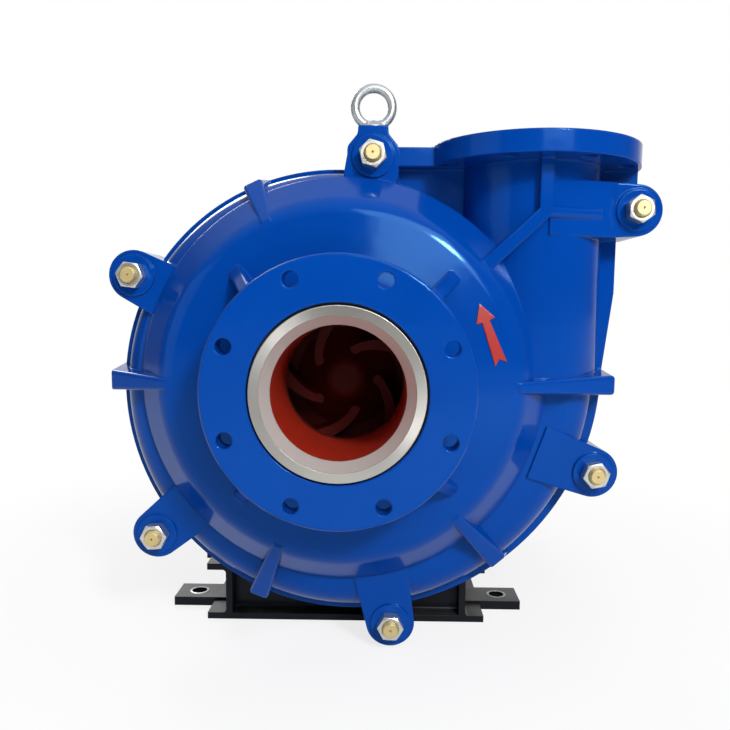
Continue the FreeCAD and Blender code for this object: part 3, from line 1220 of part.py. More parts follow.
def gland():
    """The gland in two halves, so that it comes off without taking the shaft out."""
    inner = SLEEVE_DIAMETER / 2 + GLAND_BORE_GAP
    plate = gland_flange_outline(GLAND_PLATE_DEPTH).extrude(ALONG_Y * GLAND_PLATE_THICKNESS)
    tip = Vector(0, PACKING_END_DEPTH, 0)
    spigot = rod(CHAMBER_RADIUS - RUNNING_CLEARANCE, tip, GLAND_PLATE_DEPTH - PACKING_END_DEPTH + JOIN_LAP)
    whole = plate.fuse(spigot).cut(rod(inner, tip, GLAND_REAR_DEPTH - PACKING_END_DEPTH))
    hole = (GLAND_BOLT_DIAMETER + BOLT_HOLE_PLAY) / 2
    whole = whole.cut([rod(hole, point, GLAND_PLATE_THICKNESS) for point in gland_bolt_places(GLAND_PLATE_DEPTH)])
    reach = GLAND_BOLT_SPAN
    halves = []
    for x_range in ((-reach, -GLAND_SPLIT / 2), (GLAND_SPLIT / 2, reach)):
        halves.append(whole.common(block(x_range, (0, SHAFT_END_DEPTH), (-reach, reach))))
    return group(halves)


def gland_bolts():
    """Two bolts through the box's ears, heads in front."""
    bolts = []
    for point in gland_bolt_places(BOX_EAR_FRONT_DEPTH):
        shank = rod(GLAND_BOLT_DIAMETER / 2, point, GLAND_BOLT_LENGTH)
        bolts.append(shank.fuse(bolt_head(GLAND_BOLT_DIAMETER, point, -ALONG_Y)))
    return group(bolts)


def gland_nuts():
    """Their nuts, on the gland's back; the bore clears the bolt as a thread does."""
    play = 2 * RUNNING_CLEARANCE
    return group([
        standard_nut(GLAND_BOLT_DIAMETER, point, play=play) for point in gland_bolt_places(GLAND_REAR_DEPTH)
    ])


def packing_rings():
    """The soft packing, one ring behind the other."""
    inner = SLEEVE_DIAMETER / 2 + SMALL_GAP
    starts = [PACKING_START_DEPTH + index * PACKING_SECTION for index in range(PACKING_COUNT)]
    return group([ring(inner, CHAMBER_RADIUS, start, start + PACKING_SECTION) for start in starts])


def lantern_ring():
    """The ring that spreads the sealing water: a groove outside and inside, joined by holes."""
    inner = SLEEVE_DIAMETER / 2 + SMALL_GAP
    outer = CHAMBER_RADIUS
    lip = LANTERN_WIDTH / 4
    rear = PACKING_START_DEPTH
    groove = PACKING_SECTION / 3
    solid = turned([
        (inner, CHAMBER_FRONT_DEPTH), (outer, CHAMBER_FRONT_DEPTH), (outer, CHAMBER_FRONT_DEPTH + lip),
        (outer - groove, CHAMBER_FRONT_DEPTH + lip), (outer - groove, rear - lip), (outer, rear - lip),
        (outer, rear), (inner, rear), (inner, rear - lip), (inner + groove, rear - lip),
        (inner + groove, CHAMBER_FRONT_DEPTH + lip), (inner, CHAMBER_FRONT_DEPTH + lip),
    ])
    upright = rod(lip / 2, Vector(0, WATER_BOSS_DEPTH, -outer), 2 * outer, ALONG_Z)
    level = rod(lip / 2, Vector(-outer, WATER_BOSS_DEPTH, 0), 2 * outer, ALONG_X)
    return solid.cut([upright, level])


def water_plug():
    """The pipe plug in the sealing water inlet on top of the box."""
    top = Vector(0, WATER_BOSS_DEPTH, WATER_BOSS_TOP)
    body = rod(WATER_PLUG_RADIUS, top - ALONG_Z * WATER_BOSS_HEIGHT, WATER_BOSS_HEIGHT, ALONG_Z)
    return body.fuse(hexagon_bar(2 * WATER_PLUG_RADIUS, top, WATER_PLUG_RADIUS, ALONG_Z))


# ---- shaft line ---------------------------------------------------------------------------------------------

def shaft():
    """The shaft: impeller thread, sleeve seat, two bearing seats with a thicker middle, drive end with a keyway."""
    drive_start = SHAFT_END_DEPTH - DRIVE_END_LENGTH
    front_seat_rear = FRONT_BEARING_DEPTH + BEARING_WIDTH
    solid = turned([
        (0, SHAFT_FRONT_DEPTH),
        (IMPELLER_THREAD_RADIUS, SHAFT_FRONT_DEPTH),
        (IMPELLER_THREAD_RADIUS, SLEEVE_FRONT_DEPTH),
        (SHAFT_SLEEVE_SEAT / 2, SLEEVE_FRONT_DEPTH),
        (SHAFT_SLEEVE_SEAT / 2, FRONT_LABYRINTH_DEPTH),
        (BEARING_BORE / 2, FRONT_LABYRINTH_DEPTH),
        (BEARING_BORE / 2, front_seat_rear),
        (SHAFT_MIDDLE_DIAMETER / 2, front_seat_rear),
        (SHAFT_MIDDLE_DIAMETER / 2, REAR_BEARING_DEPTH),
        (BEARING_BORE / 2, REAR_BEARING_DEPTH),
        (BEARING_BORE / 2, drive_start, SHAFT_CHAMFER),
        (DRIVE_END_DIAMETER / 2, drive_start),
        (DRIVE_END_DIAMETER / 2, SHAFT_END_DEPTH - SHAFT_CHAMFER),
        (DRIVE_END_DIAMETER / 2 - SHAFT_CHAMFER, SHAFT_END_DEPTH),
        (0, SHAFT_END_DEPTH),
    ])
    return solid.cut(key_blank(KEY_HEIGHT))


def shaft_ring(height, front, rear):
    """A ring on the shaft's sleeve seat, this much higher than the sleeve."""
    return ring(SHAFT_SLEEVE_SEAT / 2, SLEEVE_DIAMETER / 2 + height, front, rear)


def key_blank(height):
    """A round-ended key, standing half in the shaft's top."""
    half = KEY_WIDTH / 2
    rounding = half - 0.01  # just under the half width, which leaves each side of the outline its own edge
    rear = SHAFT_END_DEPTH - (DRIVE_END_LENGTH - KEY_LENGTH) / 2
    front = rear - KEY_LENGTH
    corners = [(x, depth, rounding) for x, depth in ((-half, front), (half, front), (half, rear), (-half, rear))]
    floor = DRIVE_END_DIAMETER / 2 - KEY_HEIGHT * KEYWAY_SHARE
    return outline(corners, at_height(floor)).extrude(ALONG_Z * height)


def bearing_inner(front):
    """A bearing's inner ring, with the two ribs that guide the rollers."""
    bore = BEARING_BORE / 2
    track = bore + BEARING_RING_THICKNESS
    crest = track + ROLLER_RIB_HEIGHT
    rib = ROLLER_RIB_WIDTH
    rear = front + BEARING_WIDTH
    return turned([
        (bore, front), (crest, front), (crest, front + rib), (track, front + rib),
        (track, rear - rib), (crest, rear - rib), (crest, rear), (bore, rear),
    ])


def bearing_outer(front):
    """A bearing's outer ring."""
    outer = BEARING_OUTER_DIAMETER / 2
    return ring(outer - BEARING_RING_THICKNESS, outer, front, front + BEARING_WIDTH)


def bearing_rollers(front):
    """A bearing's rollers with the two side rings of their cage."""
    track = BEARING_BORE / 2 + BEARING_RING_THICKNESS
    gap = BEARING_OUTER_DIAMETER / 2 - BEARING_RING_THICKNESS - track
    radius = gap / 2 - RUNNING_CLEARANCE
    pitch_radius = track + gap / 2
    start = front + ROLLER_RIB_WIDTH + SMALL_GAP + CAGE_RING_WIDTH
    length = BEARING_WIDTH - 2 * (start - front)
    rollers = [rod(radius, point, length) for point in around(pitch_radius, ROLLER_COUNT, start)]
    low = pitch_radius - CAGE_RING_DROP
    high = pitch_radius + CAGE_RING_RISE
    side_rings = [ring(low, high, side, side + CAGE_RING_WIDTH) for side in (start - CAGE_RING_WIDTH, start + length)]
    return group(rollers + side_rings)


def labyrinth(front):
    """A grooved ring that throws water off before it reaches the bearing."""
    bore = BEARING_BORE / 2
    crest = LABYRINTH_RADIUS
    root = LABYRINTH_RADIUS - LABYRINTH_GROOVE
    pitch = LABYRINTH_WIDTH / 5  # two grooves and the three lands beside them
    corners = [(bore, front), (crest, front)]
    for index in (1, 3):
        groove_front = front + index * pitch
        groove_rear = groove_front + pitch
        corners += [(crest, groove_front), (root, groove_front), (root, groove_rear), (crest, groove_rear)]
    corners += [(crest, front + LABYRINTH_WIDTH), (bore, front + LABYRINTH_WIDTH)]
    return turned(corners)


# ---- bearing cartridge --------------------------------------------------------------------------------------

def bearing_housing():
    """The cartridge's tube: two lands that sit in the cradle, side pads for the clamps, lug for the screw."""
    bore = BEARING_OUTER_DIAMETER / 2
    front = HOUSING_FRONT_DEPTH
    rear = HOUSING_REAR_DEPTH
    land_front = front + LAND_INSET
    land_rear = rear - LAND_INSET
    shoulder = bore - HOUSING_SHOULDER_HEIGHT
    core = bore + HOUSING_CORE_HEIGHT
    front_seat_end = front + SEAT_LENGTH
    rear_seat_end = rear - SEAT_LENGTH
    tube = turned([
        (bore, front),
        (END_COVER_RADIUS, front, HOUSING_END_EDGE),
        (END_COVER_RADIUS, front + HOUSING_END_STEP, HOUSING_END_ROUNDING),
        (HOUSING_RADIUS, front + HOUSING_END_LENGTH),
        (HOUSING_RADIUS, land_front), (LAND_RADIUS, land_front),
        (LAND_RADIUS, land_front + LAND_LENGTH), (HOUSING_RADIUS, land_front + LAND_LENGTH),
        (HOUSING_RADIUS, land_rear - LAND_LENGTH), (LAND_RADIUS, land_rear - LAND_LENGTH),
        (LAND_RADIUS, land_rear), (HOUSING_RADIUS, land_rear),
        (HOUSING_RADIUS, rear - HOUSING_END_LENGTH),
        (END_COVER_RADIUS, rear - HOUSING_END_STEP, HOUSING_END_ROUNDING),
        (END_COVER_RADIUS, rear, HOUSING_END_EDGE),
        (bore, rear),
        (bore, rear_seat_end), (shoulder, rear_seat_end), (shoulder, rear_seat_end - HOUSING_SHOULDER_HEIGHT),
        (core, rear_seat_end - HOUSING_SHOULDER_HEIGHT), (core, front_seat_end + HOUSING_SHOULDER_HEIGHT),
        (shoulder, front_seat_end + HOUSING_SHOULDER_HEIGHT), (shoulder, front_seat_end), (bore, front_seat_end),
    ])
    solids = [tube]
    for start in (land_front, land_rear - LAND_LENGTH):
        for side in (-1, 1):
            x_range = sorted((side * (HOUSING_RADIUS - PAD_LAP), side * PAD_REACH))
            solids.append(block(x_range, (start, start + LAND_LENGTH), (RAIL_TOP + SMALL_GAP, PAD_TOP)))
    half = ADJUSTING_SCREW_DIAMETER * SCREW_LUG_SHARE
    lug_depths = (SCREW_LUG_DEPTH, SCREW_LUG_DEPTH + SCREW_LUG_THICKNESS)
    lug_z = (ADJUSTING_SCREW_Z - half, HOUSING_PART_LAP - HOUSING_RADIUS)
    solids.append(block((-half, half), lug_depths, lug_z))
    boss_foot = HOUSING_RADIUS - HOUSING_PART_LAP
    for depth in GREASE_DEPTHS:
        solids.append(rod(GREASE_BOSS_RADIUS, Vector(0, depth, boss_foot), GREASE_SEAT - boss_foot, ALONG_Z))
    solid = joined(solids)
    screw_start = Vector(0, SCREW_LUG_DEPTH, ADJUSTING_SCREW_Z)
    cuts = [rod(ADJUSTING_SCREW_DIAMETER / 2, screw_start, SCREW_LUG_THICKNESS)]
    cuts += [rod(GREASE_BORE_RADIUS, Vector(0, depth, bore), HOUSING_RADIUS, ALONG_Z) for depth in GREASE_DEPTHS]
    for depth, direction in ((front, ALONG_Y), (rear, -ALONG_Y)):
        for point in cover_screw_places(depth):
            cuts.append(rod(COVER_SCREW_DIAMETER / 2, point, 2 * COVER_SCREW_DIAMETER, direction))
    return solid.cut(cuts)


def cover_screw_places(depth):
    """The screws of an end cover."""
    return around(COVER_SCREW_CIRCLE / 2, COVER_SCREW_COUNT, depth, COVER_SCREW_ANGLE)


def end_cover(outward):
    """A cover on the cartridge's end: flange with screw holes, and a spigot that holds the bearing in."""
    seat = 0.0
    inner = BEARING_BORE / 2 + END_COVER_SHAFT_GAP
    spigot_outer = BEARING_OUTER_DIAMETER / 2 - RUNNING_CLEARANCE
    spigot_inner = BEARING_OUTER_DIAMETER / 2 - END_COVER_SPIGOT_WALL
    cover = turned([
        (inner, seat), (inner, -END_COVER_THICKNESS), (END_COVER_RADIUS, -END_COVER_THICKNESS, END_COVER_ROUNDING),
        (END_COVER_RADIUS, seat), (spigot_outer, seat), (spigot_outer, BEARING_INSET),
        (spigot_inner, BEARING_INSET), (spigot_inner, seat),
    ])
    hole = (COVER_SCREW_DIAMETER + COVER_SCREW_PLAY) / 2
    cover = cover.cut([rod(hole, point, END_COVER_THICKNESS) for point in cover_screw_places(-END_COVER_THICKNESS)])
    if outward > 0:
        cover = cover.rotated(Vector(), ALONG_Z, 180)
        cover.translate(ALONG_Y * HOUSING_REAR_DEPTH)
    else:
        cover.translate(ALONG_Y * HOUSING_FRONT_DEPTH)
    return cover


def end_cover_screws():
    """The hexagon screws of both end covers."""
    screws = []
    ends = (
        (HOUSING_FRONT_DEPTH - END_COVER_THICKNESS, ALONG_Y),
        (HOUSING_REAR_DEPTH + END_COVER_THICKNESS, -ALONG_Y),
    )
    length = END_COVER_THICKNESS + HEX_WIDTH_SHARE * COVER_SCREW_DIAMETER
    for seat, inward in ends:
        for point in cover_screw_places(seat):
            shank = rod(COVER_SCREW_DIAMETER / 2, point, length, inward)
            screws.append(shank.fuse(bolt_head(COVER_SCREW_DIAMETER, point, -inward)))
    return group(screws)


def grease_nipples():
    """A grease nipple over each bearing."""
    nipples = []
    for depth in GREASE_DEPTHS:
        seat = Vector(0, depth, GREASE_SEAT)
        stem = rod(GREASE_BORE_RADIUS, seat - ALONG_Z * GREASE_SHANK_LENGTH, GREASE_SHANK_LENGTH, ALONG_Z)
        body = hexagon_bar(GREASE_HEX_WIDTH, seat, GREASE_HEX_HEIGHT, ALONG_Z)
        head_foot = seat + ALONG_Z * GREASE_HEX_HEIGHT
        head = Part.makeCone(GREASE_HEAD_RADIUS, GREASE_TIP_RADIUS, GREASE_HEAD_HEIGHT, head_foot, ALONG_Z)
        nipples.append(joined([stem, body, head]))
    return group(nipples)


def adjusting_screw():
    """The screw fixed in the cartridge's lug, which runs through the pedestal's bracket."""
    start = Vector(0, SCREW_LUG_DEPTH, ADJUSTING_SCREW_Z)
    end_depth = BRACKET_DEPTH + BRACKET_THICKNESS + SCREW_TAIL
    return rod(ADJUSTING_SCREW_DIAMETER / 2, start, end_depth - SCREW_LUG_DEPTH)


def adjusting_nuts():
    """The two nuts on that screw, one at each side of the bracket."""
    play = 2 * RUNNING_CLEARANCE
    front_seat = Vector(0, BRACKET_DEPTH - SMALL_GAP, ADJUSTING_SCREW_Z)
    rear_seat = Vector(0, BRACKET_DEPTH + BRACKET_THICKNESS + SMALL_GAP, ADJUSTING_SCREW_Z)
    return group([
        standard_nut(ADJUSTING_SCREW_DIAMETER, front_seat, -ALONG_Y, play),
        standard_nut(ADJUSTING_SCREW_DIAMETER, rear_seat, ALONG_Y, play),
    ])


def clamp_places():
    """The middle of each cartridge clamp: two lands, two sides."""
    half = LAND_LENGTH / 2
    depths = (HOUSING_FRONT_DEPTH + LAND_INSET + half, HOUSING_REAR_DEPTH - LAND_INSET - half)
    return [(side, depth) for depth in depths for side in (-1, 1)]


def cartridge_clamps():
    """Clamps that stand on the cradle's rails and reach over the housing's pads."""
    clamps = []
    half = LAND_LENGTH / 2 - CLAMP_END_INSET
    arm_bottom = PAD_TOP + SMALL_GAP
    top = PAD_TOP + CLAMP_THICKNESS

    def is_top_edge(edge):
        """The clamp's two long upper edges."""
        return edge.BoundBox.YLength > half and edge.BoundBox.ZMax > top - JOIN_LAP

    for side, depth in clamp_places():
        leg_x = sorted((side * (PAD_REACH + CLAMP_SIDE_GAP), side * RAIL_REACH))
        arm_x = sorted((side * (LAND_RADIUS + CLAMP_SIDE_GAP), side * RAIL_REACH))
        depths = (depth - half, depth + half)
        leg = block(leg_x, depths, (RAIL_TOP, arm_bottom + JOIN_LAP))
        arm = block(arm_x, depths, (arm_bottom, top))
        clamp = rounded(joined([leg, arm]), CLAMP_ROUNDING, is_top_edge)
        hole_start = Vector(side * CLAMP_BOLT_X, depth, RAIL_TOP)
        clamps.append(clamp.cut(rod(clamp_hole_radius(), hole_start, top - RAIL_TOP, ALONG_Z)))
    return group(clamps)


def clamp_hole_radius():
    """Of the clamp bolts' holes, in clamps and rails."""
    return (CLAMP_BOLT_DIAMETER + BOLT_HOLE_PLAY) / 2


def clamp_bolts():
    """A bolt with its nut at each clamp."""
    pieces = []
    top = PAD_TOP + CLAMP_THICKNESS
    bottom = RAIL_TOP - CRADLE_RAIL_THICKNESS
    shank_end = bottom - NUT_HEIGHT_SHARE * CLAMP_BOLT_DIAMETER - CLAMP_BOLT_TAIL
    head_width = HEX_WIDTH_SHARE * CLAMP_BOLT_DIAMETER
    head_height = CLAMP_HEAD_SHARE * CLAMP_BOLT_DIAMETER
    for side, depth in clamp_places():
        x = side * CLAMP_BOLT_X
        shank = rod(CLAMP_BOLT_DIAMETER / 2, Vector(x, depth, shank_end), top - shank_end, ALONG_Z)
        head = hexagon_bar(head_width, Vector(x, depth, top), head_height, ALONG_Z)
        pieces.append(shank.fuse(head))
        pieces.append(standard_nut(CLAMP_BOLT_DIAMETER, Vector(x, depth, bottom), -ALONG_Z))
    return group(pieces)


# ---- bearing pedestal ---------------------------------------------------------------------------------------

def cradle_depths():
    """The cradle's front and rear end, a little past the housing's lands."""
    front = HOUSING_FRONT_DEPTH + LAND_INSET - CRADLE_MARGIN
    rear = HOUSING_REAR_DEPTH - LAND_INSET + CRADLE_MARGIN
    return front, rear


def cradle_window():
    """The window through the cradle's floor, round the adjusting screw's bracket."""
    front, rear = cradle_depths()
    margin = LAND_LENGTH + CRADLE_RELIEF_MARGIN + CRADLE_WINDOW_MARGIN
    across = (-BRACKET_HALF_WIDTH, BRACKET_HALF_WIDTH)
    return block(across, (front + margin, rear - margin), (-RING_RADIUS, 0))


def web_range(side):
    """One web's reach across."""
    return sorted((side * PEDESTAL_WEB_INSIDE, side * (PEDESTAL_WEB_INSIDE + PEDESTAL_WEB_THICKNESS)))


def bearing_pedestal():
    """The pedestal's cradle: a trough for the cartridge, its rails, and the heads of the two webs under it."""
    cradle_front, cradle_rear = cradle_depths()
    length = cradle_rear - cradle_front
    trough = rod(LAND_RADIUS + CRADLE_WALL, Vector(0, cradle_front, 0), length)
    low_part = block((-RAIL_REACH, RAIL_REACH), (RING_FRONT_DEPTH, SHAFT_END_DEPTH), (FLOOR, RAIL_TOP))
    solids = [trough.common(low_part)]
    web_waist = -LAND_RADIUS - WEB_NECK_DROP
    web_rear = cradle_rear - PEDESTAL_LAP
    for side in (-1, 1):
        rail_x = sorted((side * LAND_RADIUS, side * RAIL_REACH))
        solids.append(block(rail_x, (cradle_front, cradle_rear), (RAIL_TOP - CRADLE_RAIL_THICKNESS, RAIL_TOP)))
        head = outline([
            (cradle_front - WEB_HEAD_REACH, web_waist),
            (cradle_front + PEDESTAL_LAP, WEB_CREST),
            (web_rear, WEB_CREST),
            (web_rear, web_waist),
        ], at_side(web_range(side)[0]))
        solids.append(head.extrude(ALONG_X * PEDESTAL_WEB_THICKNESS))
    relief_start = LAND_LENGTH + CRADLE_RELIEF_MARGIN
    seat_start = Vector(0, cradle_front - WEB_HEAD_REACH, 0)
    cuts = [
        rod(LAND_RADIUS + RUNNING_CLEARANCE, seat_start, length + 2 * WEB_HEAD_REACH),
        rod(LAND_RADIUS + CRADLE_RELIEF_GAP, Vector(0, cradle_front + relief_start, 0), length - 2 * relief_start),
        cradle_window(),
    ]
    for side, depth in clamp_places():
        start = Vector(side * CLAMP_BOLT_X, depth, RAIL_TOP - CRADLE_RAIL_THICKNESS)
        cuts.append(rod(clamp_hole_radius(), start, CRADLE_RAIL_THICKNESS, ALONG_Z))
    return joined(solids).cut(cuts)


def pedestal_ring():
    """The pedestal's ring for the casing, with the front wall that stands under it on the deck."""
    wall_half = PEDESTAL_WEB_INSIDE + PEDESTAL_WEB_THICKNESS
    depths = (RING_FRONT_DEPTH, RING_REAR_DEPTH)
    flange = rod(RING_RADIUS, Vector(0, RING_FRONT_DEPTH, 0), RING_THICKNESS)
    wall = block((-wall_half, wall_half), depths, (DECK_TOP, -RING_BORE_RADIUS))
    cuts = [rod(RING_BORE_RADIUS, Vector(0, RING_FRONT_DEPTH, 0), RING_THICKNESS)]
    for point in frame_stud_places(RING_FRONT_DEPTH):
        cuts.append(rod((FRAME_STUD_DIAMETER + BOLT_HOLE_PLAY) / 2, point, RING_THICKNESS))
    return joined([flange, wall]).cut(cuts)


def pedestal_side_plates():
    """The two webs from the deck up to the cradle, and the two arms from the ring back to its rails."""
    cradle_front, cradle_rear = cradle_depths()
    web_waist = -LAND_RADIUS - WEB_NECK_DROP
    web_rear = cradle_rear - PEDESTAL_LAP
    outer_radius = LAND_RADIUS + CRADLE_WALL
    rail_bottom = RAIL_TOP - CRADLE_RAIL_THICKNESS
    shoulder_depth = RING_REAR_DEPTH + ARM_SHOULDER
    plates = []
    for side in (-1, 1):
        web = outline([
            (RING_REAR_DEPTH, DECK_TOP),
            (RING_REAR_DEPTH, -LAND_RADIUS - WEB_NECK_RISE),
            (RING_REAR_DEPTH + WEB_NECK_LENGTH, web_waist, WEB_NECK_ROUNDING),
            (web_rear, web_waist),
            (web_rear, -outer_radius - WEB_TAIL_STEP, WEB_TAIL_ROUNDING),
            (BASE_REAR_DEPTH + WEB_BACK_REACH, -outer_radius - WEB_BACK_REACH, WEB_BACK_ROUNDING),
            (BASE_REAR_DEPTH, DECK_TOP),
        ], at_side(web_range(side)[0]))
        plates.append(web.extrude(ALONG_X * PEDESTAL_WEB_THICKNESS))
        arm_x = sorted((side * (RAIL_REACH - ARM_THICKNESS), side * RAIL_REACH))
        arm = outline([
            (RING_REAR_DEPTH, -ARM_HALF_HEIGHT),
            (RING_REAR_DEPTH, ARM_HALF_HEIGHT),
            (shoulder_depth, ARM_HALF_HEIGHT, ARM_SHOULDER),
            (cradle_front - ARM_TAIL, RAIL_TOP, ARM_SHOULDER),
            (cradle_front, RAIL_TOP),
            (cradle_front, rail_bottom),
            (cradle_front - ARM_FOOT_TAIL, rail_bottom, ARM_SHOULDER),
            (shoulder_depth, -ARM_HALF_HEIGHT, ARM_SHOULDER),
        ], at_side(arm_x[0]))
        plates.append(arm.extrude(ALONG_X * ARM_THICKNESS))
    return group(plates)


def pedestal_cross_wall():
    """The wall between the webs that closes the bay under the cradle."""
    across = (-PEDESTAL_WEB_INSIDE, PEDESTAL_WEB_INSIDE)
    rear = BASE_REAR_DEPTH - CHANNEL_WALL
    depths = (rear - PEDESTAL_WEB_THICKNESS, rear)
    wall = block(across, depths, (DECK_TOP, -LAND_RADIUS - CROSS_WALL_GAP))
    trough_radius = LAND_RADIUS + CRADLE_WALL + SMALL_GAP
    return wall.cut([rod(trough_radius, Vector(0, depths[0], 0), PEDESTAL_WEB_THICKNESS)])


def pedestal_deck():
    """The plate that carries the webs and walls, on top of the channels."""
    half = CHANNEL_HALF_WIDTH + CHANNEL_FLANGE
    return block((-half, half), (RING_FRONT_DEPTH, BASE_REAR_DEPTH), (CHANNEL_TOP, DECK_TOP))


def screw_bracket():
    """The bracket across the cradle's window that holds the adjusting screw."""
    across = (-BRACKET_HALF_WIDTH, BRACKET_HALF_WIDTH)
    depths = (BRACKET_DEPTH, BRACKET_DEPTH + BRACKET_THICKNESS)
    bracket = block(across, depths, (ADJUSTING_SCREW_Z - BRACKET_DROP, -LAND_RADIUS - BRACKET_TOP_GAP))
    hole_radius = (ADJUSTING_SCREW_DIAMETER + BOLT_HOLE_PLAY) / 2
    return bracket.cut([rod(hole_radius, Vector(0, BRACKET_DEPTH, ADJUSTING_SCREW_Z), BRACKET_THICKNESS)])


def frame_stud_places(depth):
    """The studs between the frame plate and the pedestal's ring."""
    return around(FRAME_STUD_CIRCLE / 2, FRAME_STUD_COUNT, depth, FRAME_STUD_ANGLE)


def frame_studs():
    """The studs that hold the frame plate to the pedestal's ring."""
    start = HUB_RING_DEPTH - FRAME_STUD_DIAMETER
    length = FRAME_STUD_DIAMETER + RING_THICKNESS + STUD_END_SHARE * FRAME_STUD_DIAMETER
    return group([rod(FRAME_STUD_DIAMETER / 2, point, length) for point in frame_stud_places(start)])


def frame_nuts():
    """Their nuts, behind the ring."""
    return group([standard_nut(FRAME_STUD_DIAMETER, point) for point in frame_stud_places(RING_REAR_DEPTH)])


# ---- channel base -------------------------------------------------------------------------------------------

def foot_bar(centre_depth):
    """A flat bar across the base with a foundation bolt hole at each end."""
    depths = (centre_depth - FOOT_BAR_WIDTH / 2, centre_depth + FOOT_BAR_WIDTH / 2)
    half = FOOT_BAR_LENGTH / 2
    bar = block((-half, half), depths, (FLOOR, FLOOR + FOOT_BAR_THICKNESS))
    holes = []
    for side in (-1, 1):
        start = Vector(side * FOOT_SPACING_X / 2, centre_depth, FLOOR)
        holes.append(rod(FOOT_HOLE_DIAMETER / 2, start, FOOT_BAR_THICKNESS, ALONG_Z))
    return bar.cut(holes)


def channel_section(place, wall_at, flange_to, low, high):
    """A channel's section: a web, and a flange at its top and its bottom."""
    web_back = wall_at
    step = CHANNEL_WALL if flange_to > wall_at else -CHANNEL_WALL
    web_front = wall_at - step
    return outline([
        (web_front, low), (flange_to, low), (flange_to, low + CHANNEL_WALL),
        (web_back, low + CHANNEL_WALL, CHANNEL_ROUNDING), (web_back, high - CHANNEL_WALL, CHANNEL_ROUNDING),
        (flange_to, high - CHANNEL_WALL), (flange_to, high), (web_front, high),
    ], place)


def side_channel(side, bars):
    """A side channel, open outwards, notched where the foot bars pass under it and kept clear of the casing."""
    flange_edge = CHANNEL_HALF_WIDTH + CHANNEL_FLANGE
    section = channel_section(at_depth(BASE_FRONT_DEPTH), CHANNEL_HALF_WIDTH, flange_edge, FLOOR, CHANNEL_TOP)
    channel = section.extrude(ALONG_Y * BASE_LENGTH)
    if side < 0:
        channel = mirrored(channel)
    return channel.cut(bars + [casing_clearance(BODY_START_RADIUS, BODY_GROWTH, BODY_HALF_WIDTH)])


def casing_clearance(start_radius, growth, half_width):
    """The room that part of the casing needs over the base, turned about the shaft."""
    radius = spiral_radius(start_radius, growth, SCOOP_ANGLE) + SMALL_GAP
    return rod(radius, Vector(0, BASE_FRONT_DEPTH - JOIN_LAP, 0), PARTING_DEPTH + half_width - BASE_FRONT_DEPTH + JOIN_LAP)


def front_channel():
    """The front cross channel, open forwards, scooped out under the casing."""
    half = CHANNEL_HALF_WIDTH - CHANNEL_WALL
    web_depth = BASE_FRONT_DEPTH + CROSS_CHANNEL_SETBACK
    section = channel_section(at_side(-half), web_depth, BASE_FRONT_DEPTH, FLOOR, CHANNEL_TOP)
    channel = section.extrude(ALONG_X * (2 * half))
    return channel.cut(casing_clearance(RIM_START_RADIUS, RIM_GROWTH, BODY_HALF_WIDTH))


def rear_channel():
    """The rear cross channel, open backwards."""
    half = CHANNEL_HALF_WIDTH - CHANNEL_WALL
    section = channel_section(at_side(-half), BASE_REAR_DEPTH - CHANNEL_FLANGE, BASE_REAR_DEPTH, FLOOR, CHANNEL_TOP)
    return section.extrude(ALONG_X * (2 * half))


# ---- the pump -----------------------------------------------------------------------------------------------

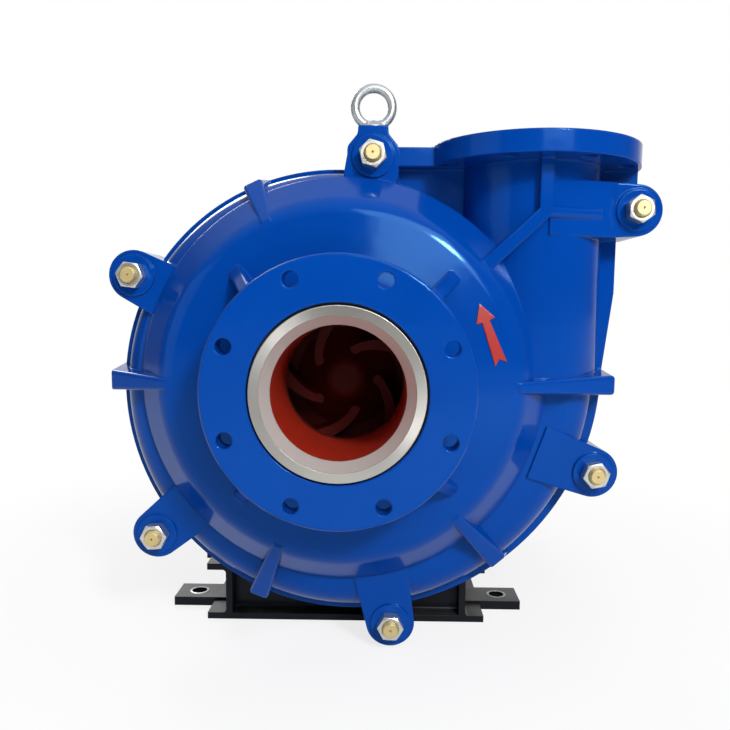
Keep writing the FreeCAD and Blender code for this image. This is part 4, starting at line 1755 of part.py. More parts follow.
def build():
    """Makes every piece and writes it."""
    body = casing_body()
    cavity = casing_cavity()
    half_liner = BODY_HALF_WIDTH - LINER_INSET
    front_seal_rear = PARTING_DEPTH - half_liner
    rear_seal_front = PARTING_DEPTH + half_liner
    front_foot = foot_bar(FRONT_FOOT_DEPTH)
    rear_foot = foot_bar(FRONT_FOOT_DEPTH + FOOT_SPACING_Y)
    pieces = {
        "cover_plate": cover_plate(body, cavity),
        "frame_plate": frame_plate(body, cavity),
        "volute_liner": volute_liner(),
        "throatbush": throatbush(),
        "frame_plate_liner_insert": liner_insert(),
        "front_liner_seal": side_seal(front_seal_rear - COLLAR_REACH, front_seal_rear),
        "rear_liner_seal": side_seal(rear_seal_front, rear_seal_front + COLLAR_REACH),
        "intake_joint": intake_joint(),
        "discharge_joint": discharge_joint(),
        "impeller": impeller(),
        "cover_studs": cover_studs(),
        "cover_front_nuts": cover_nuts(LUG_FRONT_DEPTH - LUG_BOSS_HEIGHT, -ALONG_Y),
        "cover_rear_nuts": cover_nuts(PARTING_DEPTH + REAR_LUG_THICKNESS, ALONG_Y),
        "lifting_eye": lifting_eye(),
        "liner_studs": liner_studs(),
        "liner_stud_nuts": liner_stud_nuts(),
        "stuffing_box": stuffing_box(),
        "stuffing_box_seal": stuffing_box_seal(),
        "lantern_ring": lantern_ring(),
        "packing_rings": packing_rings(),
        "gland": gland(),
        "gland_bolts": gland_bolts(),
        "gland_nuts": gland_nuts(),
        "seal_water_plug": water_plug(),
        "shaft": shaft(),
        "shaft_sleeve": shaft_ring(0, SLEEVE_FRONT_DEPTH, SLEEVE_END_DEPTH),
        "impeller_release_collar": shaft_ring(COLLAR_HEIGHT, SLEEVE_END_DEPTH, SPACER_DEPTH),
        "shaft_spacer": shaft_ring(SPACER_HEIGHT, SPACER_DEPTH, FRONT_LABYRINTH_DEPTH),
        "shaft_key": key_blank(KEY_HEIGHT),
        "pump_end_labyrinth": labyrinth(FRONT_LABYRINTH_DEPTH),
        "drive_end_labyrinth": labyrinth(REAR_LABYRINTH_DEPTH),
        "pump_end_bearing_inner": bearing_inner(FRONT_BEARING_DEPTH),
        "pump_end_bearing_outer": bearing_outer(FRONT_BEARING_DEPTH),
        "pump_end_bearing_rollers": bearing_rollers(FRONT_BEARING_DEPTH),
        "drive_end_bearing_inner": bearing_inner(REAR_BEARING_DEPTH),
        "drive_end_bearing_outer": bearing_outer(REAR_BEARING_DEPTH),
        "drive_end_bearing_rollers": bearing_rollers(REAR_BEARING_DEPTH),
        "bearing_housing": bearing_housing(),
        "pump_end_cover": end_cover(-1),
        "drive_end_cover": end_cover(1),
        "end_cover_screws": end_cover_screws(),
        "grease_nipples": grease_nipples(),
        "adjusting_screw": adjusting_screw(),
        "adjusting_nuts": adjusting_nuts(),
        "cartridge_clamps": cartridge_clamps(),
        "clamp_bolts": clamp_bolts(),
        "bearing_pedestal": bearing_pedestal(),
        "pedestal_ring": pedestal_ring(),
        "pedestal_side_plates": pedestal_side_plates(),
        "pedestal_cross_wall": pedestal_cross_wall(),
        "pedestal_deck": pedestal_deck(),
        "screw_bracket": screw_bracket(),
        "frame_studs": frame_studs(),
        "frame_nuts": frame_nuts(),
        "front_foot_bar": front_foot,
        "rear_foot_bar": rear_foot,
        "left_side_channel": side_channel(-1, [front_foot, rear_foot]),
        "right_side_channel": side_channel(1, [front_foot, rear_foot]),
        "front_channel": front_channel(),
        "rear_channel": rear_channel(),
    }
    for name, shape in pieces.items():
        save(name, shape)


build()
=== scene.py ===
"""The looks of a horizontal slurry pump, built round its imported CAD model, in metres and in its own frame."""
import json
import math

import bpy
from mathutils import Matrix, Vector


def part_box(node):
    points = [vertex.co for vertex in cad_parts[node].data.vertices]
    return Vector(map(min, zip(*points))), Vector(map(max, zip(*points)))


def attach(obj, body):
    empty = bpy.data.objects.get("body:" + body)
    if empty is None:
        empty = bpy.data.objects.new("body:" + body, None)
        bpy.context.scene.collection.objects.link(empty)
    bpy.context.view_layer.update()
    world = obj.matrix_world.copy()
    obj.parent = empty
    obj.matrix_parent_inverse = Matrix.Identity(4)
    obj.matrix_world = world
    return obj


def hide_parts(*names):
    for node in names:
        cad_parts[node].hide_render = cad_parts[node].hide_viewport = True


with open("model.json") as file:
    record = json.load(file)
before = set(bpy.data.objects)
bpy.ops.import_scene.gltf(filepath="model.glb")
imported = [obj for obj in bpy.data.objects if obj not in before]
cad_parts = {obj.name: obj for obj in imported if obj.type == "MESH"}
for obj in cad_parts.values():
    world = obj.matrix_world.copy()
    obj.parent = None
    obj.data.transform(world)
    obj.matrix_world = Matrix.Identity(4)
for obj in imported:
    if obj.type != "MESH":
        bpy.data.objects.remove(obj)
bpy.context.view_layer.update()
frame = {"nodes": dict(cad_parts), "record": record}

MM = 0.001
UP = Vector((0, 0, 1))
ALONG_SHAFT = Vector((0, 1, 0))

# places on the pump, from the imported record
MOUNTS = {mount["name"]: mount for mount in frame["record"]["mounts"]}
SUCTION_CENTRE = Vector(MOUNTS["suction_flange"]["pos_m"])
SHAFT_HEIGHT = SUCTION_CENTRE.z
SUCTION_FACE = SUCTION_CENTRE.y
SHAFT_POINT = (0.0, 0.0, SHAFT_HEIGHT)


def on_pump(x, depth, z):
    """A point given in millimetres from the shaft line and the suction face."""
    return Vector((x * MM, SUCTION_FACE + depth * MM, SHAFT_HEIGHT + z * MM))


# ---- materials ------------------------------------------------------------------------------------------

def linear(code):
    """An sRGB hex colour as linear RGBA."""
    parts = [int(code[i:i + 2], 16) / 255 for i in (1, 3, 5)]
    return (*[p / 12.92 if p <= 0.04045 else ((p + 0.055) / 1.055) ** 2.4 for p in parts], 1.0)


def new_material(name):
    """An empty material: itself, its node tree, its output and its place on the object."""
    material = bpy.data.materials.new(name)
    material.use_nodes = True
    tree = material.node_tree
    tree.nodes.clear()
    output = tree.nodes.new("ShaderNodeOutputMaterial")
    return material, tree, output, add(tree, "TexCoord").outputs["Object"]


def add(tree, kind, settings=None, **inputs):
    """Adds a node, with its settings, and sets or links its inputs by name or identifier."""
    node = tree.nodes.new("ShaderNode" + kind)
    for key, value in (settings or {}).items():
        setattr(node, key, value)
    for name, value in inputs.items():
        plain = name.replace("_", " ")
        socket = next(s for s in node.inputs if s.identifier == name or s.name == plain)
        if isinstance(value, bpy.types.NodeSocket):
            tree.links.new(value, socket)
        else:
            socket.default_value = value
    return node


def noise(tree, place, size_mm, detail=3.0):
    """Noise whose waves are about a size in millimetres."""
    return add(tree, "TexNoise", Vector=place, Scale=1000 / size_mm, Detail=detail).outputs["Fac"]


def blend(tree, share, first, second):
    """A colour between two, by a share."""
    mix = add(tree, "Mix", {"data_type": "RGBA"}, Factor_Float=share, A_Color=first, B_Color=second)
    return mix.outputs[2]


def either(tree, share, first, second):
    """A number between two, by a share."""
    mix = add(tree, "Mix", {"data_type": "FLOAT"}, Factor_Float=share, A_Float=first, B_Float=second)
    return mix.outputs[0]


def spread(tree, value, low, high, start=0.3, end=0.7, curve="LINEAR"):
    """A value from one range laid over another."""
    ranges = {"From_Min": start, "From_Max": end, "To_Min": low, "To_Max": high}
    return add(tree, "MapRange", {"interpolation_type": curve}, Value=value, **ranges).outputs["Result"]


def calculate(tree, operation, first, second):
    """One sum on two numbers."""
    return add(tree, "Math", {"operation": operation}, Value=first, Value_001=second).outputs["Value"]


def relief(tree, height, depth_mm, strength, normal=None):
    """A bump of a depth in millimetres."""
    inputs = {"Strength": strength, "Distance": depth_mm * MM, "Height": height}
    if normal is not None:
        inputs["Normal"] = normal
    return add(tree, "Bump", **inputs).outputs["Normal"]


def rounded_edges(tree, radius_mm, samples=4):
    """Edges that catch the light as if they had a radius."""
    return add(tree, "Bevel", {"samples": samples}, Radius=radius_mm * MM).outputs["Normal"]


def cast_enamel(name, colour, deep, roughness, cast_mm, edge_mm, tint, dust_share=0.0):
    """Gloss enamel brushed over a casting or a rolled section.

    Slow waves show the mould under it, its edges are soft, the coat is thinner in patches, and dust lies on
    what faces up. Its orange peel is drawn about twice as coarse as it is, so that it shows."""
    material, tree, output, place = new_material(name)
    tone = blend(tree, noise(tree, place, size_mm=260), linear(colour), linear(deep))
    edges = rounded_edges(tree, edge_mm, samples=6)
    wave = relief(tree, noise(tree, place, cast_mm, detail=2.0), 1.6, strength=0.5, normal=edges)
    skin = relief(tree, noise(tree, place, size_mm=4.0, detail=1.0), 0.12, strength=0.14, normal=wave)
    patchy = noise(tree, place, size_mm=90, detail=4.0)
    if dust_share:
        upward = add(tree, "SeparateXYZ", Vector=add(tree, "NewGeometry").outputs["Normal"]).outputs["Z"]
        level = spread(tree, upward, 0.0, dust_share, start=0.5, end=1.0)
        tone = blend(tree, calculate(tree, "MULTIPLY", level, patchy), tone, linear("#857f74"))
    sheen = spread(tree, patchy, roughness * 0.75, roughness * 1.3)
    surface = add(tree, "BsdfPrincipled", Base_Color=tone, Roughness=sheen, Normal=skin)
    surface.inputs["IOR"].default_value = 1.4
    surface.inputs["Specular Tint"].default_value = linear(tint)
    tree.links.new(surface.outputs["BSDF"], output.inputs["Surface"])
    return material


def lathe_rings(tree, place, pitch_mm):
    """Fine rings about the shaft, on a face that is square to it as well as along a bar."""
    local = add(tree, "VectorMath", {"operation": "SUBTRACT"}, Vector=place, Vector_001=SHAFT_POINT)
    split = add(tree, "SeparateXYZ", Vector=local.outputs["Vector"])
    flat = add(tree, "CombineXYZ", X=split.outputs["X"], Z=split.outputs["Z"]).outputs["Vector"]
    radius = add(tree, "VectorMath", {"operation": "LENGTH"}, Vector=flat).outputs["Value"]
    sweep = calculate(tree, "ADD", radius, split.outputs["Y"])
    return noise(tree, add(tree, "CombineXYZ", X=sweep).outputs["Vector"], pitch_mm)


def turned_metal(name, colour, stain, roughness, pitch_mm, grain=0.55):
    """Metal turned on a lathe about the shaft: fine rings, a highlight drawn out across them, and smudges.

    The tool's real feed is a fraction of a millimetre, and its rings are drawn coarser, so that they show."""
    material, tree, output, place = new_material(name)
    rings = lathe_rings(tree, place, pitch_mm)
    grooves = relief(tree, rings, 0.05, strength=0.15, normal=rounded_edges(tree, 0.6))
    tone = blend(tree, spread(tree, rings, 0.0, 0.35, start=0.2, end=0.8), linear(colour), linear(stain))
    rough = spread(tree, noise(tree, place, size_mm=24, detail=4.0), roughness * 0.94, roughness * 1.08)
    around = add(tree, "Tangent", {"direction_type": "RADIAL", "axis": "Y"}).outputs["Tangent"]
    surface = add(tree, "BsdfPrincipled", Base_Color=tone, Roughness=rough, Normal=grooves, Tangent=around)
    surface.inputs["Metallic"].default_value = 1.0
    surface.inputs["Anisotropic"].default_value = grain
    tree.links.new(surface.outputs["BSDF"], output.inputs["Surface"])
    return material


def zinc_plate(name, colour, shadow, roughness, grain=0.15, metallic=1.0):
    """Electroplated zinc: a bright, slightly cloudy metal skin with soft edges, and a grain drawn coarse."""
    material, tree, output, place = new_material(name)
    cloud = noise(tree, place, size_mm=9, detail=5.0)
    tone = blend(tree, cloud, linear(colour), linear(shadow))
    pits = noise(tree, place, size_mm=1.6, detail=2.0)
    skin = relief(tree, pits, 0.05, strength=grain, normal=rounded_edges(tree, 0.5))
    rough = spread(tree, cloud, roughness * 0.75, roughness * 1.35)
    surface = add(tree, "BsdfPrincipled", Base_Color=tone, Roughness=rough, Normal=skin)
    surface.inputs["Metallic"].default_value = metallic
    tree.links.new(surface.outputs["BSDF"], output.inputs["Surface"])
    return material


def matt_skin(name, colour, deep, roughness, grain_mm, relief_mm, gloss=0.5):
    """A matt, slightly grainy skin, such as primer, moulded rubber or braided packing."""
    material, tree, output, place = new_material(name)
    tone = blend(tree, noise(tree, place, size_mm=45, detail=5.0), linear(colour), linear(deep))
    skin = relief(tree, noise(tree, place, grain_mm), relief_mm, strength=0.5)
    surface = add(tree, "BsdfPrincipled", Base_Color=tone, Normal=skin)
    surface.inputs["Roughness"].default_value = roughness
    surface.inputs["Specular IOR Level"].default_value = gloss
    tree.links.new(surface.outputs["BSDF"], output.inputs["Surface"])
    return material


# depths behind the suction face: where the mouth's ring turns into its taper, and where the primer starts
TAPER_DEPTH = (-4.6, -4.2)
PRIMER_DEPTH = 18.5
PRIMER_WOBBLE = 1.0


def machined_mouth(name):
    """The throatbush: machined bright round its mouth, and red primer behind a ragged line down its bore."""
    material = turned_metal(name, "#bbb9b4", "#8b8882", 0.34, 0.9, grain=0.8)
    tree = material.node_tree
    metal, output = (tree.nodes[kind] for kind in ("Principled BSDF", "Material Output"))
    place = tree.nodes["Texture Coordinate"].outputs["Object"]
    depth = add(tree, "SeparateXYZ", Vector=place).outputs["Y"]
    start, end = (SUCTION_FACE + edge * MM for edge in TAPER_DEPTH)
    on_taper = spread(tree, depth, 0.0, 1.0, start, end)
    face_tone = metal.inputs["Base Color"].links[0].from_socket
    # the taper is painted paler and less metallic than the face: a painted highlight for the light it catches
    tree.links.new(blend(tree, on_taper, face_tone, linear("#dedcd8")), metal.inputs["Base Color"])
    tree.links.new(spread(tree, on_taper, 0.95, 0.6, 0.0, 1.0), metal.inputs["Metallic"])
    ragged = noise(tree, place, size_mm=14, detail=4.0)
    wobble = spread(tree, ragged, -PRIMER_WOBBLE * MM, PRIMER_WOBBLE * MM)
    edge = calculate(tree, "ADD", depth, wobble)
    painted = calculate(tree, "GREATER_THAN", edge, SUCTION_FACE + PRIMER_DEPTH * MM)
    red = blend(tree, ragged, linear("#a82813"), linear("#861c0e"))
    paint = add(tree, "BsdfPrincipled", Base_Color=red)
    paint.inputs["Roughness"].default_value = 0.4
    both = add(tree, "MixShader", Fac=painted)
    tree.links.new(metal.outputs["BSDF"], both.inputs[1])
    tree.links.new(paint.outputs["BSDF"], both.inputs[2])
    tree.links.new(both.outputs["Shader"], output.inputs["Surface"])
    return material


# deep blue that goes pale only where it mirrors a lamp
blue_enamel = cast_enamel("blue_gloss_enamel_on_cast_iron", "#013f98", "#003384", 0.13, 70, 4.0, "#86ccff")
# near black, duller, with dust on the ledges
black_enamel = cast_enamel("black_enamel_on_rolled_steel", "#0d0f13", "#08090c", 0.32, 60, 1.6, "#b8c0d0",
                           dust_share=0.14)
# the impeller's passages: red primer painted dark as painted shade deep in the bore, so that only the vanes'
# edges show
red_primer_painted_shade = matt_skin("red_oxide_primer_painted_shade", "#59170f", "#430f0a", 0.5, 2.2, 0.25, 0.12)
# the arrow: brick red, half gloss, brushed on
arrow_red = matt_skin("brushed_red_enamel", "#a8241b", "#8f1d14", 0.32, 3.0, 0.2)
# stud ends and small fittings: pale straw yellow
yellow_zinc = zinc_plate("yellow_zinc_on_steel", "#d8c694", "#c0ac74", 0.42, 0.1, 0.7)
# nuts and bolts: pale grey with a warm cast
pale_zinc = zinc_plate("zinc_plate_on_steel", "#dddcd6", "#b6b4ab", 0.32, 0.12, 0.9)
# the eye: white and even
bright_zinc = zinc_plate("bright_zinc_on_forged_steel", "#c6cacb", "#a2a7aa", 0.38, 0.05, 0.85)
# bare bright rims where the foot bars' holes are machined
bare_steel = zinc_plate("bare_spot_faced_steel", "#a9abad", "#7d7f82", 0.34)
# the shaft and what turns on it: bright, with faint rings
turned_steel = turned_metal("turned_steel", "#c4c6c9", "#9a9894", 0.26, 1.1, 0.4)
# the bearings: the brightest and smoothest
ground_steel = turned_metal("ground_bearing_steel", "#cfd1d4", "#84868a", 0.16, 0.6)
# the lantern ring: yellow brown
bronze = turned_metal("turned_bronze", "#b98a4a", "#6e4d24", 0.3, 1.0)
# the throatbush: pale rings in front, its taper paler still as a painted highlight, red behind
mouth_iron = machined_mouth("machined_iron_and_red_primer")
# the liners: grey, coarse from the mould
white_iron = matt_skin("hard_white_iron_as_cast", "#6f7276", "#55585c", 0.5, 3.0, 0.3)
# seals: black and dull
moulded_rubber = matt_skin("moulded_black_rubber", "#141414", "#0d0d0d", 0.6, 1.2, 0.05)
# packing: greasy brown grey, coarse from its plait
braided_packing = matt_skin("braided_gland_packing", "#6d675a", "#4f4a40", 0.85, 2.0, 0.6)

NODE_FINISH = {
    blue_enamel: ("cover_plate", "frame_plate", "bearing_housing", "pump_end_cover", "drive_end_cover"),
    black_enamel: ("bearing_pedestal", "pedestal_ring", "pedestal_side_plates", "pedestal_cross_wall",
                   "pedestal_deck", "screw_bracket", "cartridge_clamps", "front_foot_bar", "rear_foot_bar",
                   "left_side_channel", "right_side_channel", "front_channel", "rear_channel"),
    white_iron: ("volute_liner", "frame_plate_liner_insert", "stuffing_box", "gland"),
    red_primer_painted_shade: ("impeller",),
    mouth_iron: ("throatbush",),
    turned_steel: ("shaft", "shaft_sleeve", "impeller_release_collar", "shaft_spacer", "shaft_key",
                   "pump_end_labyrinth", "drive_end_labyrinth"),
    ground_steel: ("pump_end_bearing_inner", "pump_end_bearing_outer", "pump_end_bearing_rollers",
                   "drive_end_bearing_inner", "drive_end_bearing_outer", "drive_end_bearing_rollers"),
    pale_zinc: ("cover_front_nuts", "cover_rear_nuts", "liner_studs", "liner_stud_nuts", "gland_bolts",
                "gland_nuts", "end_cover_screws", "adjusting_screw", "adjusting_nuts", "clamp_bolts",
                "frame_studs", "frame_nuts"),
    yellow_zinc: ("cover_studs", "grease_nipples", "seal_water_plug"),
    bright_zinc: ("lifting_eye",),
    moulded_rubber: ("front_liner_seal", "rear_liner_seal", "intake_joint", "discharge_joint",
                     "stuffing_box_seal"),
    braided_packing: ("packing_rings",),
    bronze: ("lantern_ring",),
}
for finish, names in NODE_FINISH.items():
    for name in names:
        mesh = frame["nodes"][name].data
        mesh.materials.clear()
        mesh.materials.append(finish)


# ---- modelling ------------------------------------------------------------------------------------------

def primitive(kind, **sizes):
    """A new mesh at its size and place, with nothing else selected and its place in its mesh."""
    bpy.ops.object.select_all(action="DESELECT")
    getattr(bpy.ops.mesh, "primitive_" + kind + "_add")(**sizes)
    bpy.ops.object.transform_apply(location=True, rotation=True, scale=True)
    return bpy.context.object


def apply_modifier(piece, kind, **settings):
    """Adds a modifier and applies it."""
    bpy.context.view_layer.objects.active = piece
    modifier = piece.modifiers.new(kind.lower(), kind)
    for key, value in settings.items():
        setattr(modifier, key, value)
    bpy.ops.object.modifier_apply(modifier=modifier.name)


def combine(piece, tool, operation):
    """Cuts, joins or intersects a piece with a tool, which is used up."""
    apply_modifier(piece, "BOOLEAN", operation=operation, object=tool, solver="EXACT")
    bpy.data.objects.remove(tool)


def only(piece):
    """Selects one piece and nothing else."""
    bpy.ops.object.select_all(action="DESELECT")
    piece.select_set(True)
    bpy.context.view_layer.objects.active = piece


def merge(pieces):
    """Several pieces as one."""
    only(pieces[0])
    for piece in pieces[1:]:
        piece.select_set(True)
    bpy.ops.object.join()
    return pieces[0]


def copies(piece, points):
    """The piece, made at the first point, with a copy of its own mesh moved to each other point."""
    pieces = [piece]
    for point in points[1:]:
        only(piece)
        bpy.ops.object.duplicate()
        bpy.ops.transform.translate(value=point - points[0])
        pieces.append(bpy.context.object)
    return pieces


def finished(piece, name, body, material, replaced=None, sharp=30):
    """Settles a piece: at the origin, outward, smooth between sharp edges, with material and body."""
    only(piece)
    bpy.ops.object.transform_apply(location=True, rotation=True, scale=True)
    bpy.context.scene.cursor.location = (0, 0, 0)
    bpy.ops.object.origin_set(type="ORIGIN_CURSOR")
    bpy.ops.object.mode_set(mode="EDIT")
    bpy.ops.mesh.select_all(action="SELECT")
    bpy.ops.mesh.remove_doubles(threshold=0.01 * MM)
    bpy.ops.mesh.normals_make_consistent(inside=False)
    bpy.ops.object.mode_set(mode="OBJECT")
    bpy.ops.object.shade_smooth_by_angle(angle=math.radians(sharp))
    piece.name = name
    piece.data.name = name
    piece.data.materials.clear()
    piece.data.materials.append(material)
    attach(piece, body)
    if replaced:
        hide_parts(replaced)


def turned(start, profile, vertices=40, along=ALONG_SHAFT):
    """A bar turned about a line, from one end to the other: its (radius, distance) pairs in millimetres."""
    tilt = along.to_track_quat("Z", "Y").to_euler()
    radius, distance = profile[0]
    place = start + along * distance * MM
    bar = primitive("circle", vertices=vertices, radius=radius * MM, fill_type="NGON", location=place,
                    rotation=tilt)
    bpy.ops.object.mode_set(mode="EDIT")
    bpy.ops.mesh.select_all(action="SELECT")
    for next_radius, next_distance in profile[1:]:
        step = along * (next_distance - distance) * MM
        bpy.ops.mesh.extrude_region_move(TRANSFORM_OT_translate={"value": step})
        centre = start + along * next_distance * MM
        ratio = next_radius / radius
        bpy.ops.transform.resize(value=(ratio, ratio, ratio), center_override=centre)
        radius, distance = next_radius, next_distance
    bpy.ops.mesh.select_all(action="SELECT")
    bpy.ops.mesh.normals_make_consistent(inside=False)
    bpy.ops.object.mode_set(mode="OBJECT")
    return bar


def threaded(radius, start, length, pitch=3.0, depth=1.3):
    """The profile of a thread's crests and roots, along a length."""
    turns = int(length / pitch)
    pairs = []
    for turn in range(turns):
        at = start + turn * length / turns
        pairs += [(radius - depth, at), (radius, at + length / turns / 2)]
    return pairs + [(radius - depth, start + length)]


def solids_of(node):
    """The lowest and highest corner of each separate solid in a CAD node, from left to right."""
    mesh = frame["nodes"][node].data
    keys = [tuple(round(c * 1e5) for c in vertex.co) for vertex in mesh.vertices]
    group = {key: key for key in keys}

    def find(key):
        while group[key] != key:
            group[key] = group[group[key]]
            key = group[key]
        return key

    for edge in mesh.edges:
        group[find(keys[edge.vertices[0]])] = find(keys[edge.vertices[1]])
    solids = {}
    for vertex, key in zip(mesh.vertices, keys):
        solids.setdefault(find(key), []).append(vertex.co)
    boxes = []
    for points in solids.values():
        low = Vector([min(p[axis] for p in points) for axis in range(3)])
        high = Vector([max(p[axis] for p in points) for axis in range(3)])
        boxes.append((low, high))
    return sorted(boxes, key=lambda box: (round(box[0].x, 4), round(box[0].z, 4), round(box[0].y, 4)))


# ---- nuts and studs, in millimetres ---------------------------------------------------------------------

COVER_THREAD = 24
FRAME_THREAD = 20
FLATS_TO_THREAD = 1.5             # a nut's width across its flats
NUT_FACE = 0.475                  # the radius of its turned end, to its width across flats
NUT_CHAMFER = math.radians(30)
NUT_OVERCUT = 0.4
NUT_CLEARANCE = 0.15
NUT_COUNTERSINK = 1.4
NUT_TURNS = (7, -4, 16, 2, -11, 24, -7, 12)    # degrees, as the spanner left them


def nut(centre, across, height, bore, turn):
    """A machined nut: a hexagon whose corners are turned away at both ends, and a countersunk bore."""
    tilt = Matrix.Rotation(turn, 4, ALONG_SHAFT) @ ALONG_SHAFT.to_track_quat("Z", "Y").to_matrix().to_4x4()
    corner = across / math.sqrt(3)
    half = height / 2
    bar = primitive("cylinder", vertices=6, radius=corner * MM, depth=height * MM, location=centre,
                    rotation=tilt.to_euler())
    face = across * NUT_FACE
    past = corner + NUT_OVERCUT
    slope = (past - face) * math.tan(NUT_CHAMFER)
    rounds = [(face, -half), (past, -half + slope), (past, half - slope), (face, half)]
    combine(bar, turned(centre, rounds, 48), "INTERSECT")
    flare = bore + NUT_COUNTERSINK
    sink = half - NUT_COUNTERSINK
    hole = [(flare, -half - 1), (flare, -half), (bore, -sink), (bore, sink), (flare, half), (flare, half + 1)]
    combine(bar, turned(centre, hole, 32), "DIFFERENCE")
    return bar


def fit_nuts(node, thread, name):
    """Chamfered nuts in place of a node's plain ones, each a little differently turned."""
    made = []
    for index, (low, high) in enumerate(solids_of(node)):
        centre = (low + high) / 2
        height = (high.y - low.y) / MM
        turn = math.radians(30 + NUT_TURNS[index % len(NUT_TURNS)])
        made.append(nut(centre, FLATS_TO_THREAD * thread, height, thread / 2 + NUT_CLEARANCE, turn))
    finished(merge(made), name, "casing", pale_zinc, node)


fit_nuts("cover_front_nuts", COVER_THREAD, "cover_nuts_front_chamfered")
fit_nuts("cover_rear_nuts", COVER_THREAD, "cover_nuts_rear_chamfered")
fit_nuts("frame_nuts", FRAME_THREAD, "frame_nuts_chamfered")


def cover_studs():
    """Long studs with cut threads at both ends, a chamfer and a drill centre in each front end."""
    boxes = solids_of("cover_studs")
    points = [Vector(((low.x + high.x) / 2, low.y, (low.z + high.z) / 2)) for low, high in boxes]
    length = (boxes[0][1].y - boxes[0][0].y) / MM
    crest = COVER_THREAD / 2
    body = crest - 0.6
    drill_centre = [(0.3, 4.0), (1.6, 1.6), (1.8, 0.0)]
    chamfer = [(9.9, 0.0), (11.0, 1.1)]
    front_thread = threaded(crest, start=1.4, length=27)
    shank = [(body, 30), (body, length - 36)]
    rear_thread = threaded(crest, start=length - 35, length=33)
    rear_end = [(10.4, length - 0.6), (9.6, length)]
    stud = turned(points[0], drill_centre + chamfer + front_thread + shank + rear_thread + rear_end, 36)
    studs = merge(copies(stud, points))
    finished(studs, "cover_studs_threaded", "casing", yellow_zinc, "cover_studs", 20)


cover_studs()


# ---- lifting eye ----------------------------------------------------------------------------------------

def lifting_eye():
    """A forged eye bolt: a ring that swells into its collar, with the hammer's soft blends."""
    low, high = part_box("lifting_eye")
    middle = (Vector(low) + Vector(high)) / 2
    outer, section, clear_of_top = 35.0, 7.0, 0.2
    ring_centre = Vector((middle.x, middle.y, high[2] - (outer + clear_of_top) * MM))
    ring = primitive("torus", location=ring_centre, rotation=(math.pi / 2, 0, 0), major_segments=96,
                     minor_segments=28, major_radius=(outer - section) * MM, minor_radius=section * MM)
    seat = Vector((middle.x, middle.y, low[2]))
    shank = [(9.8, 0.2), (9.8, 19.8)]
    collar = [(18.6, 20.0), (19.6, 21.0), (19.6, 25.4), (18.2, 27.2), (14.6, 29.0)]
    neck = [(11.0, 32.0), (8.2, 36.0), (6.6, 38.0)]
    combine(ring, turned(seat, shank + collar + neck, 48, UP), "UNION")
    hole = [(21.6, -9), (20.8, -3), (20.8, 3), (21.6, 9)]
    combine(ring, turned(ring_centre, hole, 64), "DIFFERENCE")
    apply_modifier(ring, "REMESH", mode="VOXEL", voxel_size=1.1 * MM)
    apply_modifier(ring, "SMOOTH", factor=0.5, iterations=5)
    finished(ring, "lifting_eye_forged", "casing", bright_zinc, "lifting_eye", 60)


lifting_eye()


# ---- rotation arrow, in millimetres ---------------------------------------------------------------------

ARROW_TAIL = Vector((226.0, 42.5))             # right of and above the shaft line
ARROW_TIP = Vector((195.5, 121.0))
ARROW_BARB = (14.5, 26.0)                      # to its side, and behind its tip
ARROW_NECK = (5.6, 27.0)
ARROW_FORK = (9.0, 7.5)                        # to its side, and behind its tail
ARROW_START = 80                               # in front of the cover, before it is pressed on
ARROW_THICKNESS = 3.6
ARROW_GRID = 4.0                               # so that it bends with the cover
ARROW_CUTS = 24


def rotation_arrow():
    """The arrow cast on the cover beside the suction flange, brushed red."""
    along = (ARROW_TIP - ARROW_TAIL).normalized()
    across = Vector((along.y, -along.x))
    length = (ARROW_TIP - ARROW_TAIL).length
    barb, neck = ((side, length - behind) for side, behind in (ARROW_BARB, ARROW_NECK))
    fork = (ARROW_FORK[0], -ARROW_FORK[1])
    left_side = [(-side, ahead) for side, ahead in (fork, neck, barb)]
    corners = [(0, length), barb, neck, fork, (0, 0)] + left_side
    middle = (ARROW_TAIL + ARROW_TIP) / 2
    arrow = primitive("circle", vertices=len(corners), radius=20 * MM, fill_type="NGON",
                      location=on_pump(middle.x, ARROW_START, middle.y), rotation=(math.pi / 2, 0, 0))
    for vertex, (right, ahead) in zip(arrow.data.vertices, corners):
        place = ARROW_TAIL + across * right + along * ahead
        vertex.co = on_pump(place.x, ARROW_START, place.y)
    bpy.ops.object.mode_set(mode="EDIT")
    for step in range(1, ARROW_CUTS):
        for normal, first in ((along, 2), (across, ARROW_CUTS / 2)):
            point = ARROW_TAIL + normal * ARROW_GRID * (step - first)
            bpy.ops.mesh.select_all(action="SELECT")
            place = on_pump(point.x, ARROW_START, point.y)
            bpy.ops.mesh.bisect(plane_co=place, plane_no=(normal.x, 0, normal.y))
    bpy.ops.object.mode_set(mode="OBJECT")
    apply_modifier(arrow, "SHRINKWRAP", target=frame["nodes"]["cover_plate"], wrap_method="PROJECT",
                   use_project_y=True, use_project_z=False, use_negative_direction=False,
                   use_positive_direction=True)
    apply_modifier(arrow, "SOLIDIFY", thickness=ARROW_THICKNESS * MM, offset=0.0)
    apply_modifier(arrow, "BEVEL", width=0.6 * MM, segments=2, limit_method="ANGLE",
                   angle_limit=math.radians(50))
    finished(arrow, "rotation_arrow", "casing", arrow_red, None, 40)


rotation_arrow()


# ---- foundation holes -----------------------------------------------------------------------------------

def foot_hole_rims():
    """The bright spot faces round the foundation bolt holes, cut through the enamel."""
    holes = MOUNTS["base_bolts"]["dims"]
    across, apart = (holes[key] / 2 for key in ("spacing_x_mm", "spacing_y_mm"))
    bore = holes["hole_r_mm"]
    edge = bore + 4.2
    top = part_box("front_foot_bar")[1][2] / MM
    rims = []
    for right in (-across, across):
        for rear in (-apart, apart):
            seat = Vector((right, rear, top)) * MM
            rim = turned(seat, [(edge, -0.4), (edge, 0.25), (edge - 0.4, 0.45)], 48, UP)
            combine(rim, turned(seat, [(bore, -2), (bore, 2)], 48, UP), "DIFFERENCE")
            rims.append(rim)
    finished(merge(rims), "foot_hole_rims", "casing", bare_steel)


foot_hole_rims()


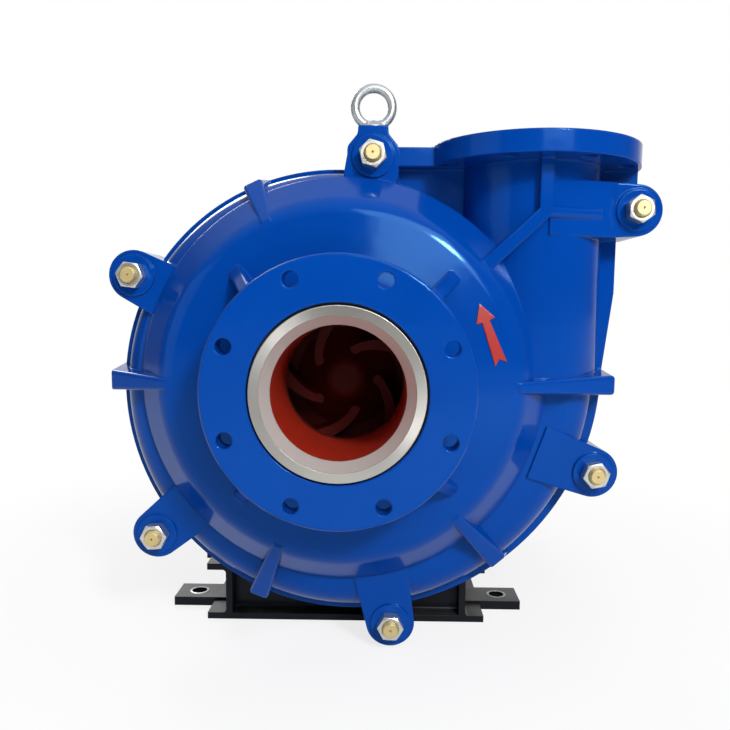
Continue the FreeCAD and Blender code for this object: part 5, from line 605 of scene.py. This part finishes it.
# ---- stage ----------------------------------------------------------------------------------------------

CAMERA_PLACE = on_pump(55.15, -978.08, 114.90)
YAW, PITCH, ROLL = -0.010, 0.115, -0.010       # radians
FLOOR_FADE = (0.35, 1.3)                       # metres from the pump's middle, from shaded to white
FLOOR_WHITE = (0.78, 1.0)                      # the floor's own light there
FLOOR_MIRRORED = 0.45                          # how much of it gloss shows
ROOM_FILL = 0.45                               # the room's light on what isn't glossy
ROOM_BACK = (0.25, 1.0)                        # where the room gets bright, from its front to its back
ROOM_TOP = (0.35, 0.9)                         # and from its walls to its ceiling
LAMPS = {                                      # place, target and size in metres, and power in watts
    "key": ((1.55, -3.3, 2.35), (0.05, -0.35, 0.42), 0.5, 92.0),
    "sky_panel": ((0.95, -2.9, 2.15), (0.05, -0.35, 0.5), 1.7, 58.0),
    "fill": ((-2.8, -2.0, 1.2), (0, -0.2, 0.4), 2.0, 9.0),
    "back": ((-1.5, 2.6, 2.6), (0, 0.2, 0.4), 1.6, 60.0),
}


def camera():
    """Low and close in front of the suction side, looking slightly down."""
    base = Matrix(((1, 0, 0), (0, 0, 1), (0, -1, 0)))
    turn = Matrix(((math.cos(YAW), 0, math.sin(YAW)), (0, 1, 0), (-math.sin(YAW), 0, math.cos(YAW))))
    tip = Matrix(((1, 0, 0), (0, math.cos(PITCH), -math.sin(PITCH)), (0, math.sin(PITCH), math.cos(PITCH))))
    lean = Matrix(((math.cos(ROLL), -math.sin(ROLL), 0), (math.sin(ROLL), math.cos(ROLL), 0), (0, 0, 1)))
    view = (lean @ tip @ turn @ base).transposed().to_4x4()
    lens = bpy.data.cameras.new("front_camera")
    lens.lens = 37.2
    lens.sensor_width = 36.0
    lens.shift_x = -0.010
    lens.shift_y = 0.040
    lens.clip_start = 0.05
    viewer = bpy.data.objects.new("front_camera", lens)
    viewer.matrix_world = Matrix.Translation(CAMERA_PLACE) @ view
    bpy.context.scene.collection.objects.link(viewer)
    bpy.context.scene.camera = viewer


def area_light(name, place, target, size, power):
    """A square lamp, aimed at a point."""
    lamp = bpy.data.lights.new(name, "AREA")
    lamp.size = size
    lamp.energy = power
    light = bpy.data.objects.new(name, lamp)
    aim = (Vector(target) - Vector(place)).to_track_quat("-Z", "Y")
    light.matrix_world = Matrix.Translation(place) @ aim.to_matrix().to_4x4()
    bpy.context.scene.collection.objects.link(light)


def seen_directly(tree):
    """Whether a ray comes from the camera, straight or through glass, and whether it was mirrored."""
    rays = add(tree, "LightPath").outputs
    direct = calculate(tree, "MAXIMUM", rays["Is Camera Ray"], rays["Is Transmission Ray"])
    return direct, rays["Is Glossy Ray"]


def floor():
    """A pale floor that keeps the shadow near the pump and fades into the white behind it."""
    ground = primitive("plane", size=60, location=(0, 0, -0.5 * MM))
    ground.name = "floor"
    material, tree, output, place = new_material("pale_floor")
    distance = add(tree, "VectorMath", {"operation": "LENGTH"}, Vector=place).outputs["Value"]
    fade = spread(tree, distance, *FLOOR_WHITE, *FLOOR_FADE, curve="SMOOTHSTEP")
    direct, mirrored = seen_directly(tree)
    shown = calculate(tree, "MAXIMUM", direct, calculate(tree, "MULTIPLY", mirrored, FLOOR_MIRRORED))
    matt = add(tree, "BsdfPrincipled", Base_Color=linear("#e8e8e8"))
    matt.inputs["Roughness"].default_value = 0.9
    white = add(tree, "Emission", Color=(1, 1, 1, 1), Strength=1.0)
    both = add(tree, "MixShader", Fac=calculate(tree, "MULTIPLY", fade, shown))
    tree.links.new(matt.outputs["BSDF"], both.inputs[1])
    tree.links.new(white.outputs["Emission"], both.inputs[2])
    tree.links.new(both.outputs["Shader"], output.inputs["Surface"])
    ground.data.materials.append(material)


def sky():
    """A white room that gloss mirrors as dim in front and bright behind and above, so that its forms show."""
    world = bpy.data.worlds.new("studio")
    bpy.context.scene.world = world
    world.use_nodes = True
    tree = world.node_tree
    tree.nodes.clear()
    direct, mirrored = seen_directly(tree)
    heading = add(tree, "SeparateXYZ", Vector=add(tree, "TexCoord").outputs["Generated"]).outputs
    from_back = spread(tree, heading["Y"], 0.1, 1.0, *ROOM_BACK, curve="SMOOTHSTEP")
    from_above = spread(tree, heading["Z"], 0.0, 1.0, *ROOM_TOP, curve="SMOOTHSTEP")
    room = calculate(tree, "MAXIMUM", from_back, from_above)
    indirect = calculate(tree, "MULTIPLY", room, either(tree, mirrored, ROOM_FILL, 1.0))
    back = add(tree, "Background", Color=(1, 1, 1, 1), Strength=either(tree, direct, indirect, 1.0))
    tree.links.new(back.outputs["Background"], tree.nodes.new("ShaderNodeOutputWorld").inputs["Surface"])


camera()
floor()
sky()
for lamp_name, (lamp_place, lamp_target, lamp_size, lamp_power) in LAMPS.items():
    area_light(lamp_name, lamp_place, lamp_target, lamp_size, lamp_power)
bpy.context.scene.view_settings.view_transform = "Standard"
